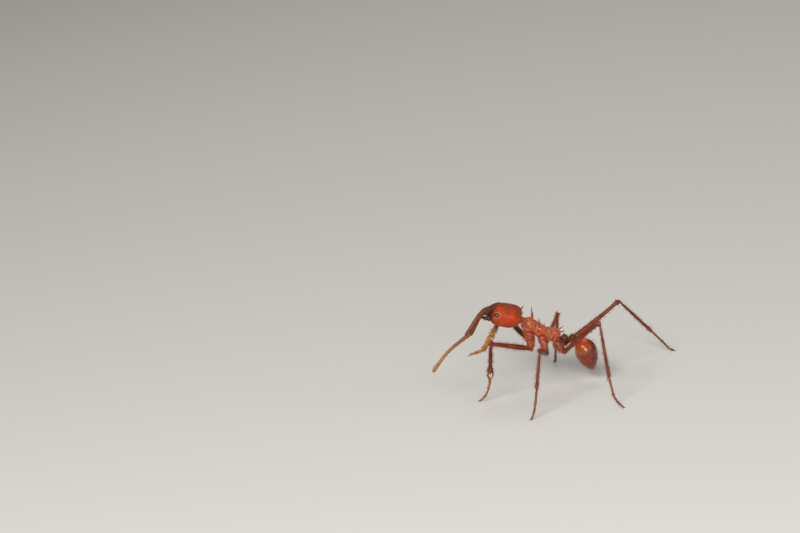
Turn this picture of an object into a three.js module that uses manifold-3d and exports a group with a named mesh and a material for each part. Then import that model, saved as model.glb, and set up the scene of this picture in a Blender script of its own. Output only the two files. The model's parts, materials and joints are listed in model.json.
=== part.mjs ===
// Leafcutter ant, a large worker of the genus Atta, at life size in a walking stance.
// Millimetres, +Z up. The ant faces -X, its left side is -Y, and its feet stand on z = 0.
import * as THREE from 'three';
import { mergeVertices } from 'three/addons/utils/BufferGeometryUtils.js';
import Module from 'manifold-3d';

const wasm = await Module();
wasm.setup();

// ---------------------------------------------------------------- driving dimensions

// The middle of the stance, which becomes the origin of the part.
const CENTRE = { x: 0.32, y: -0.805 };

const GAP = 0.03;            // clearance between neighbouring pieces
const LIMB_SIDES = 8;        // facets round a limb
const SIDES = { left: -1, right: 1 };

// Body plates: where the middle is (x, z), how far the front end is raised, and the size. The head
// is also turned a little to the ant's right.
const HEAD = { x: -3.13, z: 6.55, pitch: 18, turn: 6.5, length: 2.84, width: 2.8, depth: 1.76 };
const PRONOTUM = { x: -1.32, z: 5.42, pitch: 42, length: 1.72, width: 1.36, depth: 1.24 };
const MESOTHORAX = { x: -0.66, z: 4.98, pitch: 42, length: 1.5, width: 1.14, depth: 1.02 };
const PROPODEUM = { x: 0.25, z: 4.42, pitch: 24, length: 1.6, width: 1.1, depth: 1.16 };
const PETIOLE = { x: 1.25, z: 3.93, pitch: 4, length: 0.66, width: 0.52, depth: 0.62 };
const POSTPETIOLE = { x: 1.9, z: 3.8, pitch: -14, length: 0.66, width: 0.84, depth: 0.66 };
const GASTER = { x: 2.84, z: 2.58, pitch: 78, length: 2.16, width: 1.86, depth: 1.82 };
const GASTER_TIP = { x: 3.04, z: 1.62, pitch: 78, length: 1.4, width: 1.5, depth: 1.36 };

// Head outline: how square its ends and sections are, and how far its front, crown and chin draw in.
const HEAD_OUTLINE = { blunt: 3.1, square: 2.4, front: 0.3, crown: 0.1, chin: 0.22 };
const OCCIPITAL_NOTCH = { depth: 0.34, half_width: 0.5 };
const EYE = { forward: 0.74, out: 1.15, up: 0.22, radius: 0.22, bulge: 0.13, sunk: 0.35 };
const MANDIBLE = {
  forward: 1.2, out: 0.52, up: -0.34, length: 0.86, width: 0.62, thickness: 0.36, toe_in: 16, edge: 0.05,
};

// Spines: where the base is along, out from and above the middle of the plate, how the spine
// leans (back and out, in degrees from straight up), its length and its radius at the base.
const SPINES = {
  head: [{ forward: -1.1, out: 0.8, up: 0.42, back: 24, splay: 12, length: 0.62, radius: 0.15 }],
  pronotum: [
    { forward: 0.06, out: 0.42, up: 0.4, back: -36, splay: 12, length: 1.05, radius: 0.15 },
    { forward: 0.3, out: 0.5, up: -0.1, back: 5, splay: 78, length: 0.42, radius: 0.15 },
  ],
  mesothorax: [
    { forward: 0.3, out: 0.26, up: 0.32, back: -10, splay: 16, length: 0.42, radius: 0.14 },
    { forward: -0.2, out: 0.22, up: 0.3, back: 0, splay: 14, length: 0.38, radius: 0.13 },
  ],
  propodeum: [{ forward: -0.45, out: 0.3, up: 0.34, back: 46, splay: 30, length: 0.82, radius: 0.15 }],
};
const SPINE_TIP_RADIUS = 0.05;

// Legs: lengths and radii of the segments, the same on both sides.
const LEG_SIZES = {
  fore: { coxa: 1.5, femur: 3.45, tibia: 2.4, tarsus: 1.5, foot: 1.25 },
  mid: { coxa: 1.5, femur: 3.75, tibia: 3.1, tarsus: 1.3, foot: 1.15 },
  hind: { coxa: 1.15, femur: 5.65, tibia: 4.4, tarsus: 1.5, foot: 1.3 },
};
const HIPS = {
  fore: { x: -1.5, out: 0.45, z: 5.15 },
  mid: { x: -0.55, out: 0.45, z: 4.55 },
  hind: { x: 0.45, out: 0.45, z: 3.92 },
};
const LIMB_RADII = {
  coxa: 0.42, trochanter: 0.26, femur: 0.27, knee: 0.25, tibia: 0.26, tarsus: 0.25, foot: 0.24,
};
const TOE_OVERHANG = 0.12;   // how far a foot reaches past its last joint
// The rounded end of a limb segment: how far in the rounding starts, and how wide it is there.
const KNUCKLE = { in: 0.35, width: 0.75 };

// The stance, in degrees. Heading: 0 is forward and 90 straight out to the leg's own side.
// Rise: above the horizontal. A foot with no rise drops to the floor.
const STANCE = {
  fore_left: { coxa: [101, -80], femur: [11, 19], tibia: [7, -81], tarsus: [-10, -76], foot: [-23] },
  fore_right: { coxa: [81, -56], femur: [60, 24], tibia: [-55, -26], tarsus: [18, -54], foot: [30, -18] },
  mid_left: { coxa: [105, -58], femur: [79, 23], tibia: [65, -57], tarsus: [60, -62], foot: [40] },
  mid_right: { coxa: [112, -76], femur: [119, 28], tibia: [51, -75], tarsus: [80, -62], foot: [85] },
  hind_left: { coxa: [142, -50], femur: [129, 35], tibia: [94, -71], tarsus: [105, -68], foot: [120] },
  hind_right: { coxa: [156, -43], femur: [164, 26], tibia: [151, -51], tarsus: [155, -52], foot: [160] },
};

// Antennae: the socket on the head, the bent scape (root and shaft), then the two halves of the
// funiculus.
const ANTENNA = {
  forward: 1.12, out: 0.42, up: 0.48, root: 0.9, shaft: 2.7, funiculus: 2.05, club: 2.05, radius: 0.25,
};
const ANTENNA_STANCE = {
  left: { root: [46, 4], shaft: [52, -25], funiculus: [4, -29], club: [1, -43] },
  right: { root: [37, -24], shaft: [-10, -45], funiculus: [14, -37], club: [-2, -47] },
};

const SKINS = {
  head: { color: 0xb5451f, roughness: 0.35 },
  thorax: { color: 0xa8401f, roughness: 0.55 },
  waist: { color: 0x6f3218, roughness: 0.5 },
  gaster: { color: 0x7a2f12, roughness: 0.25 },
  limb: { color: 0x93391d, roughness: 0.5 },
  tarsus: { color: 0xa8682c, roughness: 0.5 },
  funiculus: { color: 0xb08a58, roughness: 0.6 },
  mandible: { color: 0x3a1d14, roughness: 0.35 },
  eye: { color: 0x15110f, roughness: 0.2 },
};

// ---------------------------------------------------------------- geometry helpers

const radians = (degrees) => THREE.MathUtils.degToRad(degrees);
const vec = (x, y, z) => new THREE.Vector3(x, y, z);

// The local axes of a plate: X forward, Y to the ant's left, Z to its back.
function plateAxes(plate) {
  const pitch = radians(plate.pitch);
  const forward = vec(-Math.cos(pitch), 0, Math.sin(pitch));
  const back = vec(Math.sin(pitch), 0, Math.cos(pitch));
  const turn = new THREE.Matrix4().makeRotationZ(-radians(plate.turn ?? 0));
  const axes = new THREE.Matrix4().makeBasis(forward, vec(0, -1, 0), back).premultiply(turn);
  return axes.setPosition(plate.x, 0, plate.z);
}

// A point or a direction given in a plate's own axes, in the frame of the stance.
function onPlate(plate, side, forward, out, up) {
  return vec(forward, -side * out, up).applyMatrix4(plateAxes(plate));
}

// A closed rounded body along local X. `blunt` squares its two ends and `square` its sections.
// `shape` gives each ring its own half width, top and bottom, as parts of the size, from t = -1
// at the rear to 1 at the front.
function plumpBody(plate, { rings = 12, sides = 16, blunt = 2.3, square = 2, shape, warp }) {
  const geometry = new THREE.SphereGeometry(1, sides, rings);
  geometry.rotateZ(-Math.PI / 2);
  const place = geometry.attributes.position;
  for (let i = 0; i < place.count; i++) {
    const unit = vec(place.getX(i), place.getY(i), place.getZ(i));
    const t = THREE.MathUtils.clamp(unit.x, -1, 1);
    const round = (Math.abs(unit.y) ** square + Math.abs(unit.z) ** square) ** (1 / square);
    const girth = (1 - Math.abs(t) ** blunt) ** (1 / blunt);
    const across = round > 1e-6 ? unit.y / round : 0;
    const upward = round > 1e-6 ? unit.z / round : 0;
    const { wide = 1, top = 1, bottom = 1 } = shape ? shape(t) : {};
    const point = vec(
      t * plate.length / 2,
      across * girth * wide * plate.width / 2,
      upward * girth * (upward > 0 ? top : bottom) * plate.depth / 2,
    );
    if (warp) warp(point, t);
    place.setXYZ(i, point.x, point.y, point.z);
  }
  return geometry.applyMatrix4(plateAxes(plate));
}

// A closed lathe from one point to another. `profile` lists [part of the length, radius].
function limb(from, to, profile, sides = LIMB_SIDES) {
  const axis = to.clone().sub(from);
  const length = axis.length();
  const outline = profile.map(([part, radius]) => new THREE.Vector2(radius, part * length));
  const geometry = new THREE.LatheGeometry(outline, sides);
  const turn = new THREE.Quaternion().setFromUnitVectors(vec(0, 1, 0), axis.normalize());
  return geometry.applyQuaternion(turn).translate(from.x, from.y, from.z);
}

// A rounded limb segment that starts and ends short of its joints, swollen where `middle` says.
function segment(from, to, start, middle, end) {
  const length = from.distanceTo(to);
  const shortStart = start / length;
  const shortEnd = end / length;
  return limb(from, to, [
    [GAP / length, 0],
    [shortStart * KNUCKLE.in, start * KNUCKLE.width],
    [shortStart, start],
    [0.4, middle],
    [0.72, middle],
    [1 - shortEnd, end],
    [1 - shortEnd * KNUCKLE.in, end * KNUCKLE.width],
    [1 - GAP / length, 0],
  ]);
}

function solidOf(geometry) {
  const bare = geometry.clone();
  bare.deleteAttribute('normal');
  bare.deleteAttribute('uv');
  const merged = mergeVertices(bare, 1e-5);
  return new wasm.Manifold(new wasm.Mesh({
    numProp: 3,
    vertProperties: new Float32Array(merged.attributes.position.array),
    triVerts: new Uint32Array(merged.index.array),
  }));
}

function geometryOf(solid) {
  const mesh = solid.getMesh();
  const geometry = new THREE.BufferGeometry();
  geometry.setAttribute('position', new THREE.BufferAttribute(mesh.vertProperties, 3));
  geometry.setIndex(new THREE.BufferAttribute(mesh.triVerts, 1));
  geometry.computeVertexNormals();
  return geometry;
}

// The same shape with its surface moved out by `by`, for cutting a neighbour clear of it.
function grown(geometry, by) {
  const bare = geometry.clone();
  bare.deleteAttribute('normal');
  bare.deleteAttribute('uv');
  const merged = mergeVertices(bare, 1e-5);
  merged.computeVertexNormals();
  const place = merged.attributes.position;
  const normal = merged.attributes.normal;
  for (let i = 0; i < place.count; i++) {
    place.setXYZ(
      i,
      place.getX(i) + by * normal.getX(i),
      place.getY(i) + by * normal.getY(i),
      place.getZ(i) + by * normal.getZ(i),
    );
  }
  return merged;
}

// Joins several shapes, then keeps the largest body that is left clear of the neighbours.
function sculpt(shapes, neighbours = []) {
  let solid = shapes.map(solidOf).reduce((whole, next) => whole.add(next));
  for (const neighbour of neighbours) solid = solid.subtract(solidOf(grown(neighbour, GAP)));
  const bodies = solid.simplify(0.004).decompose();
  bodies.sort((a, b) => b.volume() - a.volume());
  return geometryOf(bodies[0]);
}

// ---------------------------------------------------------------- the part

const ant = new THREE.Group();
ant.position.set(-CENTRE.x, -CENTRE.y, 0);

function addPiece(name, geometry, pivot, skin) {
  geometry.translate(-pivot.x, -pivot.y, -pivot.z);
  const material = new THREE.MeshStandardMaterial({ ...skin, metalness: 0 });
  const mesh = new THREE.Mesh(geometry, material);
  mesh.name = name;
  mesh.position.copy(pivot);
  ant.add(mesh);
}

const middleOf = (plate) => vec(plate.x, 0, plate.z);

// A pair of spines on a plate, each a slim cone with its foot sunk in the shell.
function spinePair(plate, spine) {
  return Object.values(SIDES).map((side) => {
    const back = radians(spine.back);
    const splay = radians(spine.splay);
    const rise = Math.cos(splay);
    const lean = vec(-Math.sin(back) * rise, -side * Math.sin(splay), Math.cos(back) * rise);
    const axes = plateAxes(plate);
    const foot = vec(spine.forward, -side * spine.out, spine.up).applyMatrix4(axes);
    const tip = lean.transformDirection(axes).multiplyScalar(spine.length).add(foot);
    return limb(foot, tip, [
      [0, 0], [0, spine.radius], [0.5, spine.radius * 0.62], [0.95, SPINE_TIP_RADIUS], [1, 0],
    ], 8);
  });
}

function withSpines(plate, body, spines) {
  return [body, ...spines.flatMap((spine) => spinePair(plate, spine))];
}

// Head: heart-shaped from the front, widest behind the eyes, with two rounded lobes at the rear.
function headBody() {
  const { blunt, square, front, crown, chin } = HEAD_OUTLINE;
  return plumpBody(HEAD, {
    rings: 16,
    sides: 24,
    blunt,
    square,
    shape: (t) => ({
      wide: 1 - front * THREE.MathUtils.smoothstep(t, -0.35, 1),
      top: 1 - crown * THREE.MathUtils.smoothstep(t, 0.2, 1),
      bottom: 1 - chin * THREE.MathUtils.smoothstep(-t, 0.1, 1),
    }),
    warp: (point, t) => {
      const rear = THREE.MathUtils.smoothstep(-t, 0.1, 1);
      const valley = Math.exp(-((point.y / OCCIPITAL_NOTCH.half_width) ** 2));
      point.x += OCCIPITAL_NOTCH.depth * rear * valley;
    },
  });
}

// A mandible: a triangular blade that reaches forward and in from the corner of the mouth, with a
// curved outer edge and a straight chewing edge.
function mandible(side) {
  const { length, width, thickness, edge } = MANDIBLE;
  const blade = new THREE.Shape();
  blade.moveTo(-edge, width * 0.45);
  blade.quadraticCurveTo(length * 0.8, width * 0.62, length, -width * 0.22);
  blade.lineTo(length * 0.4, -width * 0.5);
  blade.lineTo(-edge, -width * 0.32);
  const flat = thickness - 2 * edge;
  const geometry = new THREE.ExtrudeGeometry(blade, {
    depth: flat, bevelThickness: edge, bevelSize: edge, bevelSegments: 1, curveSegments: 6,
  });
  geometry.translate(0, 0, -flat / 2);
  if (side > 0) geometry.rotateX(Math.PI);
  geometry.rotateZ(side * radians(MANDIBLE.toe_in));
  geometry.translate(MANDIBLE.forward, -side * MANDIBLE.out, MANDIBLE.up);
  return geometry.applyMatrix4(plateAxes(HEAD));
}

// An eye: a low dome on the side of the head.
function eye(side) {
  const centre = onPlate(HEAD, side, EYE.forward, EYE.out, EYE.up);
  const outward = vec(0.25, -side, 0.12).transformDirection(plateAxes(HEAD));
  const inner = centre.clone().addScaledVector(outward, -EYE.sunk);
  const outer = centre.clone().addScaledVector(outward, EYE.bulge);
  const { radius } = EYE;
  return limb(inner, outer, [
    [0, 0], [0, radius], [0.72, radius], [0.88, radius * 0.78], [0.97, radius * 0.4], [1, 0],
  ], 16);
}

// Thorax and waist, each a rounded plate of its own profile.
const plates = {
  pronotum: plumpBody(PRONOTUM, {
    blunt: 2.2,
    shape: (t) => ({ wide: 1 - 0.25 * t * t, top: 1 - 0.12 * t, bottom: 1 - 0.1 * t }),
  }),
  mesothorax: plumpBody(MESOTHORAX, { blunt: 2.6 }),
  propodeum: plumpBody(PROPODEUM, {
    blunt: 3.2,
    square: 2.5,
    shape: (t) => ({ wide: 1 - 0.12 * Math.abs(t), top: 1 - 0.1 * t, bottom: 1 }),
  }),
  petiole: plumpBody(PETIOLE, { rings: 10, sides: 14, shape: (t) => ({ top: 1 - 0.2 * t }) }),
  postpetiole: plumpBody(POSTPETIOLE, { rings: 10, sides: 14, shape: (t) => ({ wide: 1 - 0.2 * t }) }),
  gaster: plumpBody(GASTER, { rings: 14, sides: 20, blunt: 2.15 }),
  gaster_tip: plumpBody(GASTER_TIP, {
    rings: 12,
    sides: 16,
    blunt: 1.7,
    shape: (t) => ({ wide: 1 + 0.25 * t, top: 1 + 0.25 * t, bottom: 1 + 0.25 * t }),
  }),
};

// A unit direction from a heading and a rise on one side of the body.
function towards([heading, rise], side) {
  const turn = radians(heading);
  const lift = radians(rise);
  return vec(-Math.cos(turn) * Math.cos(lift), side * Math.sin(turn) * Math.cos(lift), Math.sin(lift));
}

// The joints of an antenna, from its socket on the head to its tip.
function antennaJoints(name, side) {
  const stance = ANTENNA_STANCE[name];
  const joints = [onPlate(HEAD, side, ANTENNA.forward, ANTENNA.out, ANTENNA.up)];
  for (const part of ['root', 'shaft', 'funiculus', 'club']) {
    joints.push(joints.at(-1).clone().addScaledVector(towards(stance[part], side), ANTENNA[part]));
  }
  return joints;
}

// The bent scape of an antenna, as its root, the turn and its shaft.
function scapeShapes(name, side) {
  const { radius } = ANTENNA;
  const [socket, bend, elbow] = antennaJoints(name, side);
  const root = segment(socket, bend, radius, radius, radius);
  const turn = new THREE.IcosahedronGeometry(radius, 1).translate(bend.x, bend.y, bend.z);
  const shaft = segment(bend, elbow, radius, radius, radius);
  return [root, turn, shaft];
}

function addHead() {
  const head = sculpt(withSpines(HEAD, headBody(), SPINES.head), [plates.pronotum]);
  const eyes = {};
  for (const [name, side] of Object.entries(SIDES)) {
    eyes[name] = eye(side);
    const corner = onPlate(HEAD, side, MANDIBLE.forward, MANDIBLE.out, MANDIBLE.up);
    const blade = sculpt([mandible(side)], [head, ...scapeShapes(name, side)]);
    addPiece(`mandible_${name}`, blade, corner, SKINS.mandible);
  }
  const socketed = sculpt([head], Object.values(eyes));
  for (const [name, side] of Object.entries(SIDES)) {
    const middle = onPlate(HEAD, side, EYE.forward, EYE.out, EYE.up);
    addPiece(`eye_${name}`, sculpt([eyes[name]]), middle, SKINS.eye);
  }
  addPiece('head', socketed, middleOf(HEAD), SKINS.head);
  return head;
}

function addTrunk() {
  const { pronotum, mesothorax, propodeum, petiole, postpetiole, gaster, gaster_tip } = plates;
  const front = sculpt(withSpines(PRONOTUM, pronotum, SPINES.pronotum));
  const middle = sculpt(withSpines(MESOTHORAX, mesothorax, SPINES.mesothorax), [front]);
  const rear = sculpt(withSpines(PROPODEUM, propodeum, SPINES.propodeum), [middle]);
  const stalk = sculpt([petiole], [rear]);
  const knob = sculpt([postpetiole], [stalk]);
  const belly = sculpt([gaster], [knob]);
  const tip = sculpt([gaster_tip], [belly]);
  addPiece('pronotum', front, middleOf(PRONOTUM), SKINS.thorax);
  addPiece('mesothorax', middle, middleOf(MESOTHORAX), SKINS.thorax);
  addPiece('propodeum', rear, middleOf(PROPODEUM), SKINS.thorax);
  addPiece('petiole', stalk, middleOf(PETIOLE), SKINS.waist);
  addPiece('postpetiole', knob, middleOf(POSTPETIOLE), SKINS.waist);
  addPiece('gaster', belly, middleOf(GASTER), SKINS.gaster);
  addPiece('gaster_tip', tip, middleOf(GASTER_TIP), SKINS.gaster);
}

// The joints of a leg, from the hip to the toe.
function legJoints(leg, side, stance) {
  const sizes = LEG_SIZES[leg];
  const hip = HIPS[leg];
  const joints = { hip: vec(hip.x, side * hip.out, hip.z) };
  joints.trochanter = joints.hip.clone().addScaledVector(towards(stance.coxa, side), sizes.coxa);
  joints.knee = joints.trochanter.clone().addScaledVector(towards(stance.femur, side), sizes.femur);
  joints.ankle = joints.knee.clone().addScaledVector(towards(stance.tibia, side), sizes.tibia);
  joints.heel = joints.ankle.clone().addScaledVector(towards(stance.tarsus, side), sizes.tarsus);
  const [heading, rise] = stance.foot;
  const drop = rise ?? -THREE.MathUtils.radToDeg(Math.asin(joints.heel.z / sizes.foot));
  joints.toe = joints.heel.clone().addScaledVector(towards([heading, drop], side), sizes.foot);
  return joints;
}

// What lies below the floor, as one box to cut the feet flat with.
const FLOOR = new THREE.BoxGeometry(40, 40, 2).translate(0, 0, -1);

function addLeg(name, leg, side) {
  const joints = legJoints(leg, side, STANCE[name]);
  const { hip, trochanter, knee, ankle, heel, toe } = joints;
  const radii = LIMB_RADII;
  const coxa = segment(hip, trochanter, radii.coxa, radii.coxa * 0.9, radii.trochanter);
  const femur = segment(trochanter, knee, radii.trochanter, radii.femur, radii.knee);
  const tibia = segment(knee, ankle, radii.knee, radii.tibia, radii.tarsus);
  const tarsus = segment(ankle, heel, radii.tarsus, radii.tarsus, radii.tarsus);
  const claw = toe.clone().addScaledVector(toe.clone().sub(heel).normalize(), TOE_OVERHANG);
  const foot = segment(heel, claw, radii.foot, radii.foot, radii.foot);
  const trunk = [plates.pronotum, plates.mesothorax, plates.propodeum];
  addPiece(`${name}_coxa`, sculpt([coxa], trunk), hip, SKINS.limb);
  addPiece(`${name}_femur`, sculpt([femur], [coxa]), trochanter, SKINS.limb);
  addPiece(`${name}_tibia`, sculpt([tibia], [femur]), knee, SKINS.limb);
  addPiece(`${name}_tarsus`, sculpt([tarsus], [tibia]), ankle, SKINS.tarsus);
  const sole = solidOf(sculpt([foot], [tarsus])).subtract(solidOf(FLOOR));
  addPiece(`${name}_foot`, geometryOf(sole), heel, SKINS.tarsus);
}

function addAntenna(name, side, head) {
  const { radius } = ANTENNA;
  const [, bend, elbow, middle, tip] = antennaJoints(name, side);
  const scape = scapeShapes(name, side);
  const inner = segment(elbow, middle, radius, radius, radius);
  const outer = segment(middle, tip, radius, radius, radius);
  addPiece(`scape_${name}`, sculpt(scape, [head]), bend, SKINS.limb);
  addPiece(`funiculus_${name}`, sculpt([inner], scape), elbow, SKINS.funiculus);
  addPiece(`club_${name}`, sculpt([outer], [inner]), middle, SKINS.funiculus);
}

const head = addHead();
addTrunk();
for (const [name, side] of Object.entries(SIDES)) {
  addAntenna(name, side, head);
  for (const leg of Object.keys(LEG_SIZES)) addLeg(`${leg}_${name}`, leg, side);
}

export default ant;
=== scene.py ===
"""Models a leafcutter ant, a large worker of the genus Atta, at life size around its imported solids.

The pieces are modelled in millimetres, in the frame of the solids, and brought to metres as they are
finished. The ant faces -X, its left side is -Y, and its feet stand on z = 0.
"""

import json
import math

import bpy
import numpy as np
from bpy.props import FloatProperty, FloatVectorProperty, IntProperty, PointerProperty
from mathutils import Matrix, Vector

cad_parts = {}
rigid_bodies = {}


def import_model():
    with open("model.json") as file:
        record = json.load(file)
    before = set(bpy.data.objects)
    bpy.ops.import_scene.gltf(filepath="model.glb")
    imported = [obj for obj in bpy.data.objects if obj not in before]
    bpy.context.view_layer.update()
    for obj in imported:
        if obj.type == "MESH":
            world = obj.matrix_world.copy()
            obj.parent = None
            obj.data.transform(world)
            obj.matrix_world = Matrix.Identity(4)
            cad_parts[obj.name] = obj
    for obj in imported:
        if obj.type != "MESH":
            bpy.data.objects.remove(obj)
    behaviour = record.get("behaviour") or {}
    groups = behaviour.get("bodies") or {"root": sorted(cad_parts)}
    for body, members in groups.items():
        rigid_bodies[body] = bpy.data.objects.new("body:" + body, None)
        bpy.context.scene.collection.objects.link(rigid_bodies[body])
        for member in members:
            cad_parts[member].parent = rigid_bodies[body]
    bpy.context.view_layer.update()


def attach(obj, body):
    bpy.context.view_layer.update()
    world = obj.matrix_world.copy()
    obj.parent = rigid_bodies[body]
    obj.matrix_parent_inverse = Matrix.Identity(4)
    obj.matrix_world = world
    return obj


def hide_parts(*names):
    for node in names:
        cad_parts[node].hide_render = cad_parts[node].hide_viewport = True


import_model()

bl_info = {
    "name": "Leafcutter ant",
    "version": (1, 0, 0),
    "blender": (4, 5, 0),
    "location": "View3D > Sidebar > Ant",
    "description": "Models a life-size leafcutter ant around its packed solids",
    "category": "Add Mesh",
}

MM = 0.001  # a millimetre, in metres
SIDES = {"left": -1, "right": 1}

# ---------------------------------------------------------------- the stance

STANCE_MIDDLE = np.array([0.32, -0.805, 0.0])  # where the origin lies in the axes of the stance

# The middle of each body plate (x, z), how far its front end is raised, and how far it is turned to
# the ant's right, in degrees.
PLATE_PLACES = {
    "head": (-3.13, 6.55, 18, 6.5),
    "pronotum": (-1.32, 5.42, 42, 0),
    "mesothorax": (-0.66, 4.98, 42, 0),
    "propodeum": (0.25, 4.42, 24, 0),
    "petiole": (1.25, 3.93, 4, 0),
    "postpetiole": (1.9, 3.8, -14, 0),
    "gaster": (2.84, 2.58, 78, 0),
}

# The hips (x, out, z), and the lengths of coxa, femur, tibia, tarsus and foot.
HIPS = {"fore": (-1.5, 0.45, 5.15), "mid": (-0.55, 0.45, 4.55), "hind": (0.45, 0.45, 3.92)}
LEG_LENGTHS = {
    "fore": (1.5, 3.45, 2.4, 1.5, 1.25),
    "mid": (1.5, 3.75, 3.1, 1.3, 1.15),
    "hind": (1.15, 5.65, 4.4, 1.5, 1.3),
}

# Heading (0 forward, 90 straight out) and rise of each leg segment, in degrees. A foot with no
# rise drops to the floor.
STANCE = {
    ("fore", "left"): ((101, -80), (11, 19), (7, -81), (-10, -76), (-23, None)),
    ("fore", "right"): ((81, -56), (60, 24), (-55, -26), (18, -54), (30, -18)),
    ("mid", "left"): ((105, -58), (79, 23), (65, -57), (60, -62), (40, None)),
    ("mid", "right"): ((112, -76), (119, 28), (51, -75), (80, -62), (85, None)),
    ("hind", "left"): ((142, -50), (129, 35), (94, -71), (105, -68), (120, None)),
    ("hind", "right"): ((156, -43), (164, 26), (151, -51), (155, -52), (160, None)),
}

# The antenna's socket on the head (forward, out, up), the lengths of the scape's root and shaft and
# of the two halves of the funiculus, and their heading and rise.
SOCKET = (1.12, 0.42, 0.48)
ANTENNA_LENGTHS = (0.9, 2.7, 2.05, 2.05)
ANTENNA_STANCE = {
    "left": ((46, 4), (52, -25), (4, -29), (1, -43)),
    "right": ((37, -24), (-10, -45), (14, -37), (-2, -47)),
}

EYE_PLACE = (0.74, 1.15, 0.22)  # forward, out and up on the head
EYE_OUTWARD = (0.25, 1.0, 0.12)  # the direction in which it looks
JAW_PLACE = (1.2, 0.52, -0.34)  # the hinge of a mandible on the head
JAW_TOE_IN = 16  # how far a mandible is turned towards the middle, in degrees

# Spines: base (forward, out, up), lean back and splay out from straight up in degrees, length.
SPINES = {
    "head": (((-1.1, 0.8, 0.42), 24, 12, 0.44),),
    "pronotum": (((0.06, 0.42, 0.4), -36, 12, 1.05), ((0.3, 0.5, -0.1), 5, 78, 0.42)),
    "mesothorax": (((0.3, 0.26, 0.32), -10, 16, 0.42), ((-0.2, 0.22, 0.3), 0, 14, 0.38)),
    "propodeum": (((-0.45, 0.3, 0.34), 46, 30, 0.68),),
}


def length(label, description, default):
    """A length in metres whose default is given in millimetres."""
    return FloatProperty(
        name=label, description=description, default=default * MM, min=0.0, precision=5, unit="LENGTH"
    )


def angle(label, description, default):
    """An angle whose default is given in degrees."""
    value = math.radians(default)
    return FloatProperty(name=label, description=description, default=value, subtype="ANGLE")


def box_size(label, description, default):
    """Length, width and depth in metres, with the default in millimetres."""
    return FloatVectorProperty(
        name=label,
        description=description,
        default=[side * MM for side in default],
        size=3,
        precision=5,
        unit="LENGTH",
    )


def linear(hex_colour):
    """An sRGB hex colour as linear red, green, blue and an opaque alpha."""
    parts = [int(hex_colour[i : i + 2], 16) / 255 for i in (1, 3, 5)]
    return [c / 12.92 if c <= 0.04045 else ((c + 0.055) / 1.055) ** 2.4 for c in parts] + [1.0]


def colour(label, description, hex_colour):
    """A colour whose default is given as an sRGB hex colour."""
    return FloatVectorProperty(
        name=label,
        description=description,
        default=linear(hex_colour),
        size=4,
        min=0.0,
        max=1.0,
        subtype="COLOR",
    )


class AntBodySettings(bpy.types.PropertyGroup):
    """Sizes of the body plates."""

    head: box_size("Head", "Length, width and depth of the head", (2.84, 2.8, 1.76))
    pronotum: box_size("Pronotum", "Length, width and depth of the front thorax", (1.72, 1.36, 1.24))
    mesothorax: box_size("Mesothorax", "Length, width and depth of the mid thorax", (1.5, 1.14, 1.02))
    propodeum: box_size("Propodeum", "Length, width and depth of the rear thorax", (1.6, 1.1, 1.16))
    petiole: box_size("Petiole", "Length, width and depth of the first waist knob", (0.66, 0.52, 0.62))
    postpetiole: box_size("Postpetiole", "Length, width and depth of the second knob", (0.66, 0.84, 0.66))
    gaster: box_size("Gaster", "Length to the tip, width and depth of the gaster", (2.74, 1.84, 1.8))
    eye_radius: length("Eye radius", "Radius of an eye at its rim", 0.25)
    jaw_length: length("Mandible length", "From the hinge to the tip of the blade", 0.86)
    jaw_width: length("Mandible width", "Width of the blade at its hinge", 0.62)
    spine_radius: length("Spine radius", "Radius at the foot of a spine", 0.075)


class AntLimbSettings(bpy.types.PropertyGroup):
    """Radii of the limbs at their stoutest."""

    coxa: length("Coxa", "Radius of a coxa", 0.39)
    femur: length("Femur", "Radius of a femur", 0.19)
    tibia: length("Tibia", "Radius of a fore tibia", 0.168)
    tarsus: length("Tarsus", "Radius of a basal tarsal joint", 0.082)
    foot: length("Foot", "Radius of the outer tarsal joints", 0.078)
    scape: length("Scape", "Radius of a scape near its outer end", 0.15)
    funiculus: length("Funiculus", "Radius of the last joints of a funiculus", 0.138)


class AntBristleSettings(bpy.types.PropertyGroup):
    """Sizes and share of the bristles."""

    radius: length("Radius", "Radius of a body bristle at its root", 0.015)
    gaster: length("Gaster bristle", "Length of the bristles on the gaster", 0.36)
    limb: length("Limb bristle", "Length of the bristles on femora and tibiae", 0.29)
    share: FloatProperty(
        name="Share", description="Share of all bristles that are planted", default=1.0, min=0.0, max=1.0,
        subtype="FACTOR",
    )
    seed: IntProperty(name="Seed", description="Seed of the bristles' places", default=11)


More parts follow.
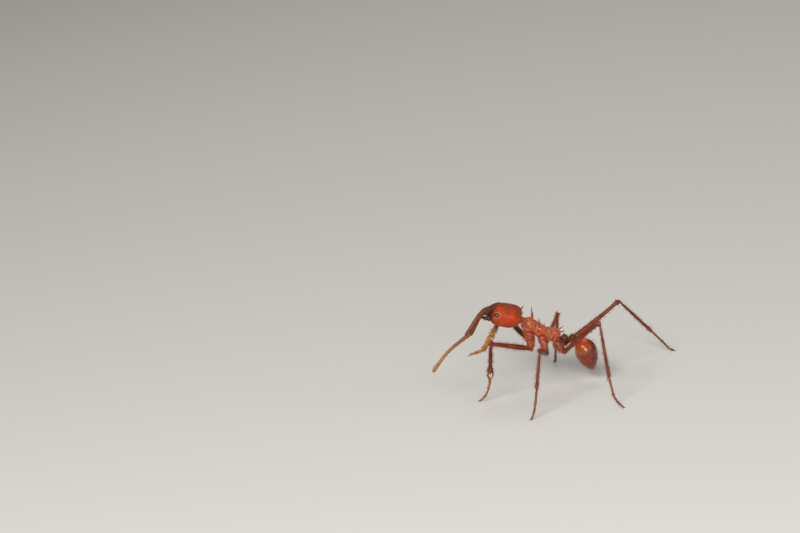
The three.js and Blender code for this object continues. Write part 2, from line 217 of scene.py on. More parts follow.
class AntColourSettings(bpy.types.PropertyGroup):
    """Colours of the shell, the bristles and the stage."""

    head: colour("Head", "Smooth shell of the head", "#ae3b10")
    # The crown colour is painted shade over the top and the rear of the head; the thorax borrows it for its
    # dark spine tips.
    crown: colour("Crown", "Top and rear of the head", "#6c3010")
    thorax: colour("Thorax", "Wrinkled shell of the thorax", "#b94e20")
    waist: colour("Waist", "Shell of the petiole and postpetiole", "#663018")
    gaster_front: colour("Gaster front", "Front of the gaster", "#b8380a")
    # The gaster's own amber, brightened as a painted highlight.
    gaster_amber_and_highlight: colour("Gaster amber", "Clear band behind the front of the gaster", "#9c5018")
    gaster: colour("Gaster", "Middle of the gaster", "#6c2c0e")
    gaster_tip: colour("Gaster tip", "Rear plates of the gaster", "#7e1e08")
    limb: colour("Limb", "Femora, tibiae and scapes", "#823216")
    tarsus: colour("Tarsus", "Tarsi and feet", "#925a30")
    fore_tarsus: colour("Fore tarsus", "Tarsi of the forelegs", "#d0852c")
    funiculus: colour("Funiculus", "Inner joints of the funiculus", "#7a5638")
    club: colour("Club", "Outer joints of the funiculus", "#a0754a")
    jaw: colour("Mandible", "Blade of a mandible", "#3c2420")
    eye: colour("Eye", "Ring of the faceted eye", "#1c1510")
    # A painted reflection in the middle of the eye.
    eye_middle_reflection: colour("Eye middle", "Middle of the faceted eye", "#5e583a")
    # Painted glint: the pale tips of the tubercles, also mixed into the painted highlight on the ring round
    # the eye.
    tubercle: colour("Tubercle", "Tips of the small tubercles", "#e08a60")
    bristle: colour("Bristle", "Erect bristles", "#b88a54")
    leg_bristle: colour("Leg bristle", "Stiff bristles of the legs", "#84502c")
    floor: colour("Floor", "Floor of the stage", "#dcd9d3")


class AntStageSettings(bpy.types.PropertyGroup):
    """The camera and the lights."""

    elevation: angle("Elevation", "How far the camera looks down", 17)
    roll: angle("Roll", "Turn of the camera about its line of sight", 8.5)
    lens: FloatProperty(name="Lens", description="Focal length in millimetres", default=150.0, min=10.0)
    distance: length("Distance", "From the camera to the plane of the ant's body", 266.67)
    light: FloatProperty(name="Light", description="Share of the lamps' full power", default=1.0, min=0.0)


class AntSettings(bpy.types.PropertyGroup):
    """All settings of the ant."""

    body: PointerProperty(type=AntBodySettings)
    limb: PointerProperty(type=AntLimbSettings)
    bristle: PointerProperty(type=AntBristleSettings)
    colour: PointerProperty(type=AntColourSettings)
    stage: PointerProperty(type=AntStageSettings)


# ---------------------------------------------------------------- axes and joints


class Plate:
    """The axes of a body plate: forward, to the ant's left, and up its back."""

    def __init__(self, name, size):
        x, z, pitch, turn = PLATE_PLACES[name]
        lift = math.radians(pitch)
        straight = [
            [-math.cos(lift), 0.0, math.sin(lift)],
            [0.0, -1.0, 0.0],
            [math.sin(lift), 0.0, math.cos(lift)],
        ]
        self.middle = np.array([x, 0.0, z]) - STANCE_MIDDLE
        self.axes = np.array(straight) @ np.array(Matrix.Rotation(math.radians(turn), 3, "Z"))
        self.half = np.array(size) / MM / 2

    def out_of(self, local):
        """Places in the plate's axes, in the frame of the solids."""
        return np.asarray(local) @ self.axes + self.middle

    def into(self, places):
        """Places in the frame of the solids, in the plate's axes."""
        return (np.asarray(places) - self.middle) @ self.axes.T

    def on_side(self, side, place):
        """A place given as forward, out and up, on one side of the body."""
        forward, out, up = place
        return self.out_of([forward, -side * out, up])


def plate(name):
    """The axes of a body plate at the size that is set for it."""
    return Plate(name, getattr(bpy.context.scene.ant.body, name))


def unit(vector):
    return np.asarray(vector) / np.linalg.norm(vector)


def towards(heading, rise, side):
    """A unit direction from a heading and a rise, on one side of the body."""
    turn, lift = math.radians(heading), math.radians(rise)
    return np.array(
        [-math.cos(turn) * math.cos(lift), side * math.sin(turn) * math.cos(lift), math.sin(lift)]
    )


def leg_joints(leg, side_name):
    """Hip, trochanter, knee, ankle, heel and toe of a leg."""
    side = SIDES[side_name]
    x, out, z = HIPS[leg]
    joints = [np.array([x, side * out, z]) - STANCE_MIDDLE]
    for reach, (heading, rise) in zip(LEG_LENGTHS[leg], STANCE[leg, side_name]):
        if rise is None:
            rise = -math.degrees(math.asin(joints[-1][2] / reach))
        joints.append(joints[-1] + reach * towards(heading, rise, side))
    return joints


def antenna_joints(side_name):
    """Socket, bend, elbow, middle and tip of an antenna."""
    side = SIDES[side_name]
    joints = [plate("head").on_side(side, SOCKET)]
    for reach, (heading, rise) in zip(ANTENNA_LENGTHS, ANTENNA_STANCE[side_name]):
        joints.append(joints[-1] + reach * towards(heading, rise, side))
    return joints


# ---------------------------------------------------------------- modelling

MERGE = 1e-5  # points of a tube's caps that lie closer than this are one


def smooth(stops, at):
    """A smooth curve through (position, value) stops, read at each place."""
    x = np.array([stop[0] for stop in stops], float)
    y = np.array([stop[1] for stop in stops], float)
    slope = np.gradient(y, x, axis=0)
    k = np.clip(np.searchsorted(x, at, side="right") - 1, 0, len(x) - 2)
    span = x[k + 1] - x[k]
    t = (at - x[k]) / span
    if y.ndim > 1:
        span, t = span[:, None], t[:, None]
    ends = (2 * t**3 - 3 * t**2 + 1) * y[k] + (3 * t**2 - 2 * t**3) * y[k + 1]
    return ends + (t**3 - 2 * t**2 + t) * span * slope[k] + (t**3 - t**2) * span * slope[k + 1]


def step(value, low, high):
    """Rises smoothly from 0 at low to 1 at high."""
    t = np.clip((value - low) / (high - low), 0, 1)
    return t * t * (3 - 2 * t)


def coords(piece):
    """The places of a mesh's points, one row each."""
    found = np.empty(len(piece.data.vertices) * 3)
    piece.data.vertices.foreach_get("co", found)
    return found.reshape(-1, 3)


def set_coords(piece, places):
    piece.data.vertices.foreach_set("co", np.asarray(places, float).ravel())
    piece.data.update()


def push(piece, amount):
    """Moves each point along its normal, as a sculpting brush does."""
    normals = np.empty(len(piece.data.vertices) * 3)
    piece.data.vertices.foreach_get("normal", normals)
    set_coords(piece, coords(piece) + normals.reshape(-1, 3) * amount[:, None])


def select_only(*pieces):
    bpy.ops.object.select_all(action="DESELECT")
    for piece in pieces:
        piece.select_set(True)
    bpy.context.view_layer.objects.active = pieces[0]


def apply_modifier(piece, kind, **settings):
    select_only(piece)
    bpy.ops.object.modifier_add(type=kind)
    modifier = piece.modifiers[-1]
    for key, value in settings.items():
        setattr(modifier, key, value)
    bpy.ops.object.modifier_apply(modifier=modifier.name)


def ball(detail=5):
    """A ball of radius 1 with even faces."""
    bpy.ops.object.select_all(action="DESELECT")
    bpy.ops.mesh.primitive_ico_sphere_add(subdivisions=detail, radius=1)
    return bpy.context.object


def lump(centre, radii, detail=4):
    """A rounded lump, to be fused to its neighbours."""
    piece = ball(detail)
    set_coords(piece, coords(piece) * np.array(radii) + np.array(centre))
    return piece


def join(*pieces):
    """Joins pieces into the first one, as loose parts of one mesh."""
    select_only(*pieces)
    bpy.ops.object.join()
    return bpy.context.object


def repair(piece, merge=0.0):
    """Points the faces of a closed mesh outwards, once points closer than merge are one."""
    select_only(piece)
    bpy.ops.object.mode_set(mode="EDIT")
    bpy.ops.mesh.select_all(action="SELECT")
    if merge:
        bpy.ops.mesh.remove_doubles(threshold=merge)
    bpy.ops.mesh.normals_make_consistent(inside=False)
    bpy.ops.object.mode_set(mode="OBJECT")
    return piece


def curve_through(path, radii, loop):
    """A curve that runs straight from point to point. A loop runs back to its start."""
    bpy.ops.object.select_all(action="DESELECT")
    bpy.ops.curve.primitive_nurbs_path_add()
    curve = bpy.context.object.data
    curve.splines.clear()
    line = curve.splines.new("POLY")
    line.points.add(len(path) - 1)
    for point, place, radius in zip(line.points, path, radii):
        point.co = (*place, 1)
        point.radius = radius
    line.use_cyclic_u = loop
    return curve


def tube(path, radii, sides=16, loop=False):
    """A closed tube along a path, with a radius at each point."""
    curve = curve_through(path, radii, loop)
    curve.twist_mode = "MINIMUM"
    curve.bevel_depth = 1.0
    curve.bevel_resolution = (sides - 4) // 2
    curve.use_fill_caps = True
    bpy.ops.object.convert(target="MESH")
    return repair(bpy.context.object, MERGE)


def limb(joints, stops, rings=48, sides=20, bow=(0.0, 0.0, 0.0)):
    """A tube through joints, whose radius follows (part of the length, radius) stops."""
    joints = np.array(joints)
    steps = np.linalg.norm(np.diff(joints, axis=0), axis=1)
    along = np.concatenate([[0], np.cumsum(steps)]) / steps.sum()
    at = (1 - np.cos(np.linspace(0, math.pi, rings))) / 2
    path = smooth(list(zip(along, joints)), at) + np.sin(math.pi * at)[:, None] * np.array(bow)
    radii = np.maximum(smooth(stops, at), stops[-1][1] * 0.5)
    return tube(path, radii, sides)


def fuse(pieces, voxel, passes):
    """Joins pieces into one closed skin of even faces."""
    whole = join(*pieces)
    apply_modifier(whole, "REMESH", mode="VOXEL", voxel_size=voxel)
    apply_modifier(whole, "SMOOTH", factor=0.5, iterations=passes)
    return whole


def wrinkle(piece, basis, size, height):
    """Roughens a skin with a noise of that grain size and height."""
    texture = bpy.data.textures.new("wrinkles", "CLOUDS")
    texture.noise_basis = basis
    texture.noise_scale = size
    texture.noise_depth = 1
    apply_modifier(piece, "DISPLACE", texture=texture, strength=height, mid_level=0.5)
    bpy.data.textures.remove(texture)


def plump(unit, half, blunt, square=2.0, outline=None):
    """A unit ball's points moved to a rounded plate of that half size. The outline gives its width,
    top and bottom at each place from -1 at the rear to 1 at the front."""
    t = np.clip(unit[:, 0], -1, 1)
    across, up = unit[:, 1], unit[:, 2]
    radius = np.maximum((abs(across) ** square + abs(up) ** square) ** (1 / square), 1e-6)
    girth = (1 - abs(t) ** blunt) ** (1 / blunt)
    wide, top, bottom = outline(t) if outline else (1.0, 1.0, 1.0)
    return np.column_stack(
        [
            t * half[0],
            across / radius * girth * wide * half[1],
            up / radius * girth * np.where(up > 0, top, bottom) * half[2],
        ]
    )


SPINE_SINK = 0.12  # how far the foot of a spine is sunk in its plate
SPINE_BEND = 0.05  # how far the tip curves back, as a part of the spine's length
SPINE_TIP = 0.014  # radius at the tip


def spine(base, back, splay, reach, side, foot):
    """A spine that tapers to a fine tip and curves back a little, in a plate's axes."""
    lean, out = math.radians(back), math.radians(splay)
    forward, across, up = base
    way = np.array([-math.sin(lean) * math.cos(out), -side * math.sin(out), math.cos(lean) * math.cos(out)])
    start = np.array([forward, -side * across, up])
    s = np.linspace(0, 1, 14)
    path = start + np.outer(s * (reach + SPINE_SINK) - SPINE_SINK, way)
    path[:, 0] -= SPINE_BEND * reach * s**2
    return tube(path, foot * (1 - s) ** 0.8 + SPINE_TIP, 12)


def spines(name):
    """The spines of a plate, in its axes."""
    foot = bpy.context.scene.ant.body.spine_radius / MM
    return [
        spine(base, back, splay, reach, side, foot)
        for base, back, splay, reach in SPINES[name]
        for side in SIDES.values()
    ]


def seat(piece, home):
    """Moves a piece from a plate's axes to the frame of the solids."""
    set_coords(piece, home.out_of(coords(piece)))
    return piece


def finish(piece, name, material, slot, *nodes):
    """Names a piece, brings it to metres, gives it its material and hides the solids that it stands for."""
    piece.name = name
    piece.data.name = name
    select_only(piece)
    piece.scale = (MM, MM, MM)
    bpy.ops.object.transform_apply(location=True, rotation=True, scale=True)
    bpy.ops.object.shade_smooth()
    piece.data.materials.clear()
    piece.data.materials.append(material)
    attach(piece, "root")
    if nodes:
        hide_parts(*nodes)


# ---------------------------------------------------------------- materials


def add_node(tree, kind, inputs, **settings):
    """Adds a node with its settings, and sets or links its inputs."""
    node = tree.nodes.new(kind)
    for key, value in settings.items():
        setattr(node, key, value)
    for key, value in inputs.items():
        if isinstance(value, bpy.types.NodeSocket):
            tree.links.new(value, node.inputs[key])
        else:
            node.inputs[key].default_value = value
    return node


def per_size(size):
    """The texture scale that gives a pattern of that size in millimetres."""
    return 1 / (size * MM)


NOISE_MIDDLE = 0.52  # the value that half of a noise texture lies above
NET_DEPTH = 0.3  # depth of the fine net, as a part of its cells
ROUGHER = 0.09  # how far the roughness strays up and down
SMOOTHER = 0.07


def shell(name, base, deep, patch, grain, relief, roughness, coat, fades=(), blend=0.17):
    """Insect shell: a waxy, slightly clear skin over a coloured layer.

    The colour drifts between base and deep in patches, whose edges are as soft as blend, and a fine
    net of cells of the size grain, which stands out by relief, breaks the shine. Each fade is (colour,
    place, way, start, end): another colour takes over along a direction, between two distances from a
    place. Sizes and places are in millimetres.
    """
    material = bpy.data.materials.new(name)
    material.use_nodes = True
    tree = material.node_tree
    tree.nodes.clear()
    where = add_node(tree, "ShaderNodeTexCoord", {}).outputs["Object"]
    drift = add_node(tree, "ShaderNodeTexNoise", {"Vector": where, "Scale": per_size(patch), "Detail": 3.0})
    share = add_node(
        tree,
        "ShaderNodeMapRange",
        {
            "Value": drift.outputs["Fac"],
            "From Min": NOISE_MIDDLE - blend,
            "From Max": NOISE_MIDDLE + blend,
        },
    )
    tint = add_node(
        tree, "ShaderNodeMix", {"Factor": share.outputs["Result"], "A": base, "B": deep}, data_type="RGBA"
    )
    paint = tint.outputs["Result"]
    for second, place, way, start, end in fades:
        turned = add_node(
            tree, "ShaderNodeVectorMath", {0: where, 1: [v * MM for v in place]}, operation="SUBTRACT"
        )
        along = add_node(
            tree, "ShaderNodeVectorMath", {0: turned.outputs["Vector"], 1: list(way)},
            operation="DOT_PRODUCT",
        )
        mask = add_node(
            tree,
            "ShaderNodeMapRange",
            {"Value": along.outputs["Value"], "From Min": start * MM, "From Max": end * MM},
            interpolation_type="SMOOTHSTEP",
        )
        mix = add_node(
            tree,
            "ShaderNodeMix",
            {"Factor": mask.outputs["Result"], "A": paint, "B": second},
            data_type="RGBA",
        )
        paint = mix.outputs["Result"]
    cells = add_node(
        tree, "ShaderNodeTexVoronoi", {"Vector": where, "Scale": per_size(grain)}, feature="F1",
    )
    fine = add_node(tree, "ShaderNodeTexNoise", {"Vector": where, "Scale": per_size(grain * 2.5)})
    rough = add_node(
        tree,
        "ShaderNodeMapRange",
        {"Value": fine.outputs["Fac"], "To Min": roughness - SMOOTHER, "To Max": roughness + ROUGHER},
    )
    bump = add_node(
        tree,
        "ShaderNodeBump",
        {"Height": cells.outputs["Distance"], "Strength": relief, "Distance": grain * MM * NET_DEPTH},
    )
    skin = add_node(
        tree,
        "ShaderNodeBsdfPrincipled",
        {
            "Base Color": paint,
            "Roughness": rough.outputs["Result"],
            "IOR": 1.5,
            "Specular IOR Level": 0.22,
            "Coat Weight": coat,
            "Coat Roughness": 0.15,
            "Normal": bump.outputs["Normal"],
            "Coat Normal": bump.outputs["Normal"],
        },
    )
    add_node(tree, "ShaderNodeOutputMaterial", {"Surface": skin.outputs["BSDF"]})
    return material


def ant_material(name, *part):
    """The material of that name for a part, made when it is first asked for."""
    label = "_".join((name, *part))
    found = bpy.data.materials.get(label)
    return found or MATERIALS[name](label, bpy.context.scene.ant.colour, *part)


def deeper(paint, share):
    """A colour darkened to that share of itself, with its red kept longest."""
    return [paint[0] * share**0.8, paint[1] * share**1.2, paint[2] * share**1.2, 1.0]


def mixed(first, second, share):
    """A colour between two, with that share of the second."""
    return [(1 - share) * a + share * b for a, b in zip(first, second)]


def head_shell(label, paint):
    # Smooth head shell: satin and orange-red. Painted shade browns the crown and the rear, and darkens the
    # face towards the mouth.
    head = plate("head")
    back, up = -head.axes[0], head.axes[2]
    crown = (back + up) / math.sqrt(2)
    return shell(
        label, paint.head, deeper(paint.head, 0.6),
        patch=0.5, grain=0.04, relief=0.14, roughness=0.55, coat=0.03,
        fades=(
            (paint.crown, head.middle, crown, 0.85, 1.4),
            (paint.crown, head.middle, up, 0.7, 1.0),
            # Painted shade over the face, darkest at the mouth.
            (deeper(paint.crown, 0.6), head.middle, (-back - up) / math.sqrt(2), 0.94, 1.14),
            (deeper(paint.crown, 0.7), head.middle, (up - back) / math.sqrt(2), 0.92, 1.2),
            (deeper(paint.crown, 0.4), head.middle, -back, 0.88, 1.1),
        ),
    )


def thorax_shell(label, paint):
    # Wrinkled thorax shell: the ridges catch the light, and dark patches of painted shade, laid at random,
    # stand in for the shaded pits; the long spines have dark tips.
    return shell(
        label, paint.thorax, deeper(paint.thorax, 0.25),
        patch=0.2, grain=0.05, relief=0.5, roughness=0.24, coat=0.7, blend=0.16,
        fades=((deeper(paint.crown, 0.7), (0, 0, 0), (0, 0, 1), 6.1, 6.5),),
    )


def coxa_shell(label, paint):
    # Wrinkled coxa shell: as the thorax, with the same random patches of painted shade, but duller, and
    # darker on the hind legs.
    return shell(
        label, deeper(paint.thorax, 0.8), deeper(paint.thorax, 0.22),
        patch=0.22, grain=0.05, relief=0.5, roughness=0.28, coat=0.5, blend=0.16,
        fades=((deeper(paint.limb, 0.6), (0, 0, 0), (1, 0, 0), -0.2, 0.3),),
    )


def waist_shell(label, paint):
    # Rough, dark brown shell of the waist.
    return shell(
        label, paint.waist, deeper(paint.waist, 0.4),
        patch=0.18, grain=0.05, relief=0.5, roughness=0.4, coat=0.05,
    )


def gaster_shell(label, paint):
    # Polished gaster shell: clear and amber over the orange-red of the front; the amber band is brightened
    # by a painted highlight, and the back is darkened by painted shade.
    gaster = plate("gaster")
    return shell(
        label, paint.gaster, deeper(paint.gaster, 0.5),
        patch=0.35, grain=0.045, relief=0.12, roughness=0.24, coat=0.9,
        fades=(
            (paint.gaster_amber_and_highlight, gaster.middle, gaster.axes[0], -0.2, 0.4),
            (paint.gaster_front, gaster.middle, gaster.axes[0], 0.3, 0.9),
            (paint.gaster_tip, gaster.middle, -gaster.axes[0], -0.1, 0.5),
            # Painted shade on the back of the gaster, the side turned from the key lamp.
            (deeper(paint.gaster, 0.5), gaster.middle, gaster.axes[2], 0.2, 0.8),
        ),
    )


def gaster_tip_shell(label, paint):
    # Polished shell of the rear plates, in dark red-brown bands.
    return shell(
        label, paint.gaster_tip, deeper(paint.gaster, 0.6),
        patch=0.14, grain=0.07, relief=0.4, roughness=0.22, coat=0.5, blend=0.08,
    )


def limb_shell(label, paint):
    # Satin limb shell, mottled from red-brown to dark brown.
    return shell(
        label, paint.limb, deeper(paint.limb, 0.35),
        patch=0.4, grain=0.05, relief=0.25, roughness=0.3, coat=0.15, blend=0.12,
    )


def scape_shell(label, paint):
    # Satin scape shell, darker than the legs.
    return shell(
        label, deeper(paint.tarsus, 0.5), deeper(paint.limb, 0.5),
        patch=0.3, grain=0.045, relief=0.3, roughness=0.36, coat=0.15,
    )


def lifted_tibia_shell(label, paint, side):
    # Shell of the lifted fore tibia, red-brown at the knee and golden at the antenna cleaner.
    knee, ankle = leg_joints("fore", side)[2:4]
    return shell(
        label, paint.limb, deeper(paint.limb, 0.5),
        patch=0.45, grain=0.045, relief=0.3, roughness=0.38, coat=0.12,
        fades=((deeper(paint.fore_tarsus, 0.8), knee, unit(ankle - knee), 1.2, 2.0),),
    )


def tarsus_shell(label, paint):
    # Thin tarsus shell, from reddish brown to golden.
    return shell(
        label, paint.tarsus, deeper(paint.limb, 0.7),
        patch=0.4, grain=0.04, relief=0.25, roughness=0.42, coat=0.08,
    )


def golden_tarsus_shell(label, paint, side):
    # Golden shell of a fore tarsus, which carries the antenna cleaner; redder on the standing leg.
    base, deep = paint.fore_tarsus, deeper(paint.fore_tarsus, 0.5)
    if side == "left":
        base, deep = mixed(paint.fore_tarsus, paint.limb, 0.4), deeper(paint.limb, 0.8)
    return shell(label, base, deep, patch=0.3, grain=0.04, relief=0.25, roughness=0.4, coat=0.1)


def funiculus_shell(label, paint, side):
    # Downy, matte funiculus shell: reddish at the elbow, pale tan towards the tip.
    elbow, middle, _ = antenna_joints(side)[2:]
    return shell(
        label, deeper(paint.limb, 1.1), deeper(paint.limb, 0.7),
        patch=0.35, grain=0.035, relief=0.4, roughness=0.55, coat=0.0,
        fades=(
            (paint.funiculus, elbow, unit(middle - elbow), 0.15, 1.1),
            (paint.club, elbow, unit(middle - elbow), 1.2, 3.2),
        ),
    )


def jaw_shell(label, paint):
    # Hardened jaw shell: dark and polished by use.
    return shell(
        label, paint.jaw, deeper(paint.jaw, 0.5),
        patch=0.35, grain=0.04, relief=0.3, roughness=0.32, coat=0.2,
    )


def claw_shell(label, paint):
    # Hard claw shell, dark amber.
    return shell(
        label, deeper(paint.tarsus, 0.5), deeper(paint.jaw, 0.9),
        patch=0.15, grain=0.04, relief=0.1, roughness=0.32, coat=0.2,
    )


def eye_shell(label, paint, side):
    # Compound eye: glossy lenses on a dark ring, with a painted reflection in olive over the middle.
    return shell(
        label, paint.eye, deeper(paint.eye, 0.6),
        patch=0.3, grain=0.034, relief=0.7, roughness=0.25, coat=0.2,
        fades=((paint.eye_middle_reflection, eye_spot(side), eye_way(side), 0.086, 0.108),),
    )


def rim_shell(label, paint):
    # Smooth ring of shell round the eye, made paler than the cheek by a painted highlight.
    return shell(
        label, mixed(paint.head, paint.tubercle, 0.65), mixed(paint.head, paint.tubercle, 0.25),
        patch=0.15, grain=0.05, relief=0.3, roughness=0.4, coat=0.05,
    )


def plain_shell(label, base, share=0.6, roughness=0.4, coat=0.0):
    """Shell of small parts, too fine for a relief of their own."""
    return shell(
        label, base, deeper(base, share), patch=0.3, grain=0.05, relief=0.0, roughness=roughness, coat=coat
    )


def tubercle_shell(label, paint):
    # Polished tips of the shell's tubercles: paler by a painted glint, and they catch the light.
    return plain_shell(label, paint.tubercle, share=0.7, roughness=0.25, coat=0.6)


def bristle_shell(label, paint):
    # Clear golden bristles.
    return plain_shell(label, paint.bristle)


def leg_bristle_shell(label, paint):
    # Stiff brown-gold bristles of the legs.
    return plain_shell(label, paint.leg_bristle)


MATERIALS = {
    make.__name__: make
    for make in (
        head_shell, thorax_shell, coxa_shell, waist_shell, gaster_shell, gaster_tip_shell, limb_shell,
        scape_shell, lifted_tibia_shell, tarsus_shell, golden_tarsus_shell, funiculus_shell, jaw_shell,
        claw_shell, eye_shell, rim_shell, tubercle_shell, bristle_shell, leg_bristle_shell,
    )
}


# ---------------------------------------------------------------- the head


def near(places, centre, radius):
    """1 at a centre, falling off smoothly over that radius."""
    return np.exp(-((places - np.array(centre)) ** 2).sum(axis=1) / radius**2)


def along_line(places, line, width):
    """1 on a line of points, falling off smoothly over that width."""
    line = np.array(line, float)
    best = np.full(len(places), 1e9)
    for start, end in zip(line[:-1], line[1:]):
        span = end - start
        t = np.clip(((places - start) @ span) / (span @ span), 0, 1)
        best = np.minimum(best, ((places - start - t[:, None] * span) ** 2).sum(axis=1))
    return np.exp(-best / width**2)


def head_outline(t):
    """Width, top and bottom of the head from the rear (-1) to the mouth (1)."""
    wide = 1 - 0.3 * step(t, -0.35, 1)
    top = 1 - 0.1 * step(t, 0.2, 1)
    bottom = 1 - 0.22 * step(-t, 0.1, 1)
    return wide, top, bottom


def head_blank(half):
    """The heart-shaped head before its features are worked in."""
    piece = ball(6)
    places = plump(coords(piece), half * 0.985, 3.1, 2.4, head_outline)
    t, low = places[:, 0] / half[0], step(-places[:, 2], -0.1, 0.5)
    notch = 0.34 * step(-t, 0.1, 1) * np.exp(-((places[:, 1] / 0.5) ** 2))  # between the rear corners
    undercut = low * (0.13 * step(-t, 0.3, 1) - 0.12 * step(t, 0.4, 1))  # below, at both ends
    places[:, 0] += notch
    places[:, 0] += undercut
    set_coords(piece, places)
    return piece


# Features of the head, the same on both sides: (line or point of forward, out, up), width, height.
HEAD_FEATURES = (
    # Frontal lobes over the antennal sockets, with their keels running back over the crown.
    (((0.72, 0.3, 0.84), (0.98, 0.33, 0.76), (1.18, 0.34, 0.6)), 0.1, 0.11),
    (((0.72, 0.32, 0.84), (0.35, 0.46, 0.88), (-0.05, 0.6, 0.88)), 0.055, 0.03),
    (((0.95, 0.0, 0.8), (0.6, 0.0, 0.85)), 0.16, -0.045),
    # Antennal sockets and their raised rims.
    (((1.1, 0.5, 0.6),), 0.17, -0.17),
    (((1.02, 0.72, 0.5), (1.2, 0.68, 0.4)), 0.07, 0.045),
    # Keel of the cheek, from the jaw's corner back past the eye.
    (((1.3, 0.74, 0.08), (1.08, 0.92, 0.3), (0.72, 1.02, 0.46)), 0.05, 0.045),
    # Clypeus, and the groove behind it.
    (((1.36, 0.0, 0.3), (1.4, 0.22, 0.18)), 0.18, 0.06),
    (((1.2, 0.0, 0.58), (1.3, 0.34, 0.38), (1.34, 0.6, 0.08)), 0.04, -0.04),
    (((1.4, 0.0, -0.02), (1.38, 0.5, -0.05)), 0.06, 0.05),
    # Corners that carry the jaws, and the mouth between them.
    (((1.2, 0.86, -0.2), (1.1, 0.9, -0.35)), 0.12, 0.06),
    (((1.4, 0.0, -0.34), (1.38, 0.25, -0.34)), 0.18, -0.12),
    # Underside: a seam along the middle, and a low ridge beside the mouth.
    (((1.2, 0.0, -0.6), (0.2, 0.0, -0.9), (-1.0, 0.0, -0.7)), 0.05, -0.035),
    (((1.2, 0.36, -0.7), (0.6, 0.42, -0.85), (0.1, 0.3, -0.88)), 0.05, 0.03),
    # Bosses on the rear corners.
    (((-0.7, 1.18, 0.3),), 0.09, 0.05),
    (((-1.0, 1.02, -0.1),), 0.08, 0.045),
    (((-1.2, 0.5, 0.5),), 0.09, 0.04),
)


def work(piece, features):
    """Raises ridges and bosses, and sinks grooves and pits, on both sides of a plate."""
    places = coords(piece)
    folded = np.column_stack([places[:, 0], abs(places[:, 1]), places[:, 2]])
    amount = np.zeros(len(places))
    for line, width, height in features:
        if len(line) == 1:
            amount += height * near(folded, line[0], width)
        else:
            amount += height * along_line(folded, line, width)
    push(piece, amount)


def work_head(piece):
    """Works the features of the face, the crown and the eye's rim into the head."""
    work(piece, HEAD_FEATURES)
    places = coords(piece)
    f, out, up = places[:, 0], abs(places[:, 1]), places[:, 2]
    furrow = -0.08 * np.exp(-((out / 0.12) ** 2)) * step(-f, -0.4, 0.7) * step(up, 0, 0.3)
    gap = np.linalg.norm(np.column_stack([f, out, up]) - np.array(EYE_PLACE), axis=1)
    rim = 0.03 * np.exp(-(((gap - 0.27) / 0.045) ** 2))
    hollow = 0.03 * np.exp(-((gap / 0.18) ** 2))
    push(piece, furrow + (rim - hollow))


JAW_TEETH = 8
TOOTH_HEIGHT = 0.1  # of the tooth at the tip of the blade; the others get smaller along the row
TOOTH_DROP = 0.045
JAW_HINGE = -0.08  # where a blade starts, behind its place on the head


def jaw_outline(reach, width):
    """The edge of a mandible blade: curved outside, with a row of teeth inside."""
    start, tip = np.array([JAW_HINGE, 0.4 * width]), np.array([reach, -0.2 * width])
    pull = np.array([0.8 * reach, 0.58 * width])
    t = np.linspace(0, 1, 24)[:, None]
    edge = list((1 - t) ** 2 * start + 2 * t * (1 - t) * pull + t**2 * tip)
    inner = np.array([0.4 * reach, -0.44 * width])
    run = np.linalg.norm(inner - tip)
    along = (inner - tip) / run
    inward = np.array([along[1], -along[0]])
    for k in range(JAW_TEETH):
        height = TOOTH_HEIGHT - TOOTH_DROP * k / JAW_TEETH
        edge.append(tip + along * run * (k + 0.12) / JAW_TEETH + inward * height)
        edge.append(tip + along * run * (k + 0.8) / JAW_TEETH)
    edge += [inner, np.array([JAW_HINGE, -0.28 * width])]
    return edge


def jaw_blade(side, reach, width):
    """A mandible in its own axes: forward, to the ant's left, and up."""
    edge = [(x, y, 0.0) for x, y in jaw_outline(reach, width)]
    curve = curve_through(edge, [1.0] * len(edge), True)
    curve.dimensions = "2D"
    curve.fill_mode = "BOTH"
    curve.extrude = 0.03
    bpy.ops.object.convert(target="MESH")
    blade = bpy.context.object
    ridge = [
        (-0.12, 0.24 * width, 0), (0.25 * reach, 0.3 * width, 0), (0.6 * reach, 0.16 * width, 0),
        (reach, -0.17 * width, 0),
    ]
    back = limb(ridge, [(0, 0.15), (0.3, 0.13), (0.7, 0.09), (1, 0.03)], 40, 20)
    root = [(-0.1, -0.16, 0), (0.16, -0.1, 0), (0.45, -0.04, 0)]
    heel = limb(root, [(0, 0.12), (0.4, 0.1), (1, 0.03)], 24, 16)
    whole = fuse([blade, back, heel], 0.012, 2)
    x, y, z = coords(whole).T
    part = np.clip(x / reach, 0, 1)
    stria = 0.006 * np.sin(y * 70) * step(x, 0.05, 0.2) * np.sign(z) * step(abs(z), 0.01, 0.03)
    set_coords(whole, np.column_stack([x, -side * y, z * 1.15 + stria - 0.12 * part**2]))
    return whole


def on_skin(place):
    """The nearest place on the skin of the head, and the normal there."""
    head = bpy.data.objects["head_capsule"]
    _, spot, normal, _ = head.closest_point_on_mesh(Vector(place) * MM)
    return np.array(spot) / MM, np.array(normal)


def eye_way(side_name):
    """The direction in which an eye looks."""
    return unit(np.array(EYE_OUTWARD) * (1, -SIDES[side_name], 1)) @ plate("head").axes


def eye_spot(side_name):
    """The middle of an eye, just under the skin of the head."""
    spot, _ = on_skin(plate("head").on_side(SIDES[side_name], EYE_PLACE))
    return spot - EYE_SINK * eye_way(side_name)


class ANT_OT_head(bpy.types.Operator):
    """Models the head with its spines."""

    bl_idname = "ant.head"
    bl_label = "Head"

    def execute(self, context):
        home = plate("head")
        piece = fuse([head_blank(home.half), *spines("head")], 0.018, 4)
        work_head(piece)
        apply_modifier(piece, "SMOOTH", factor=0.5, iterations=2)
        finish(seat(piece, home), "head_capsule", ant_material("head_shell"), "shell_head", "head")
        return {"FINISHED"}


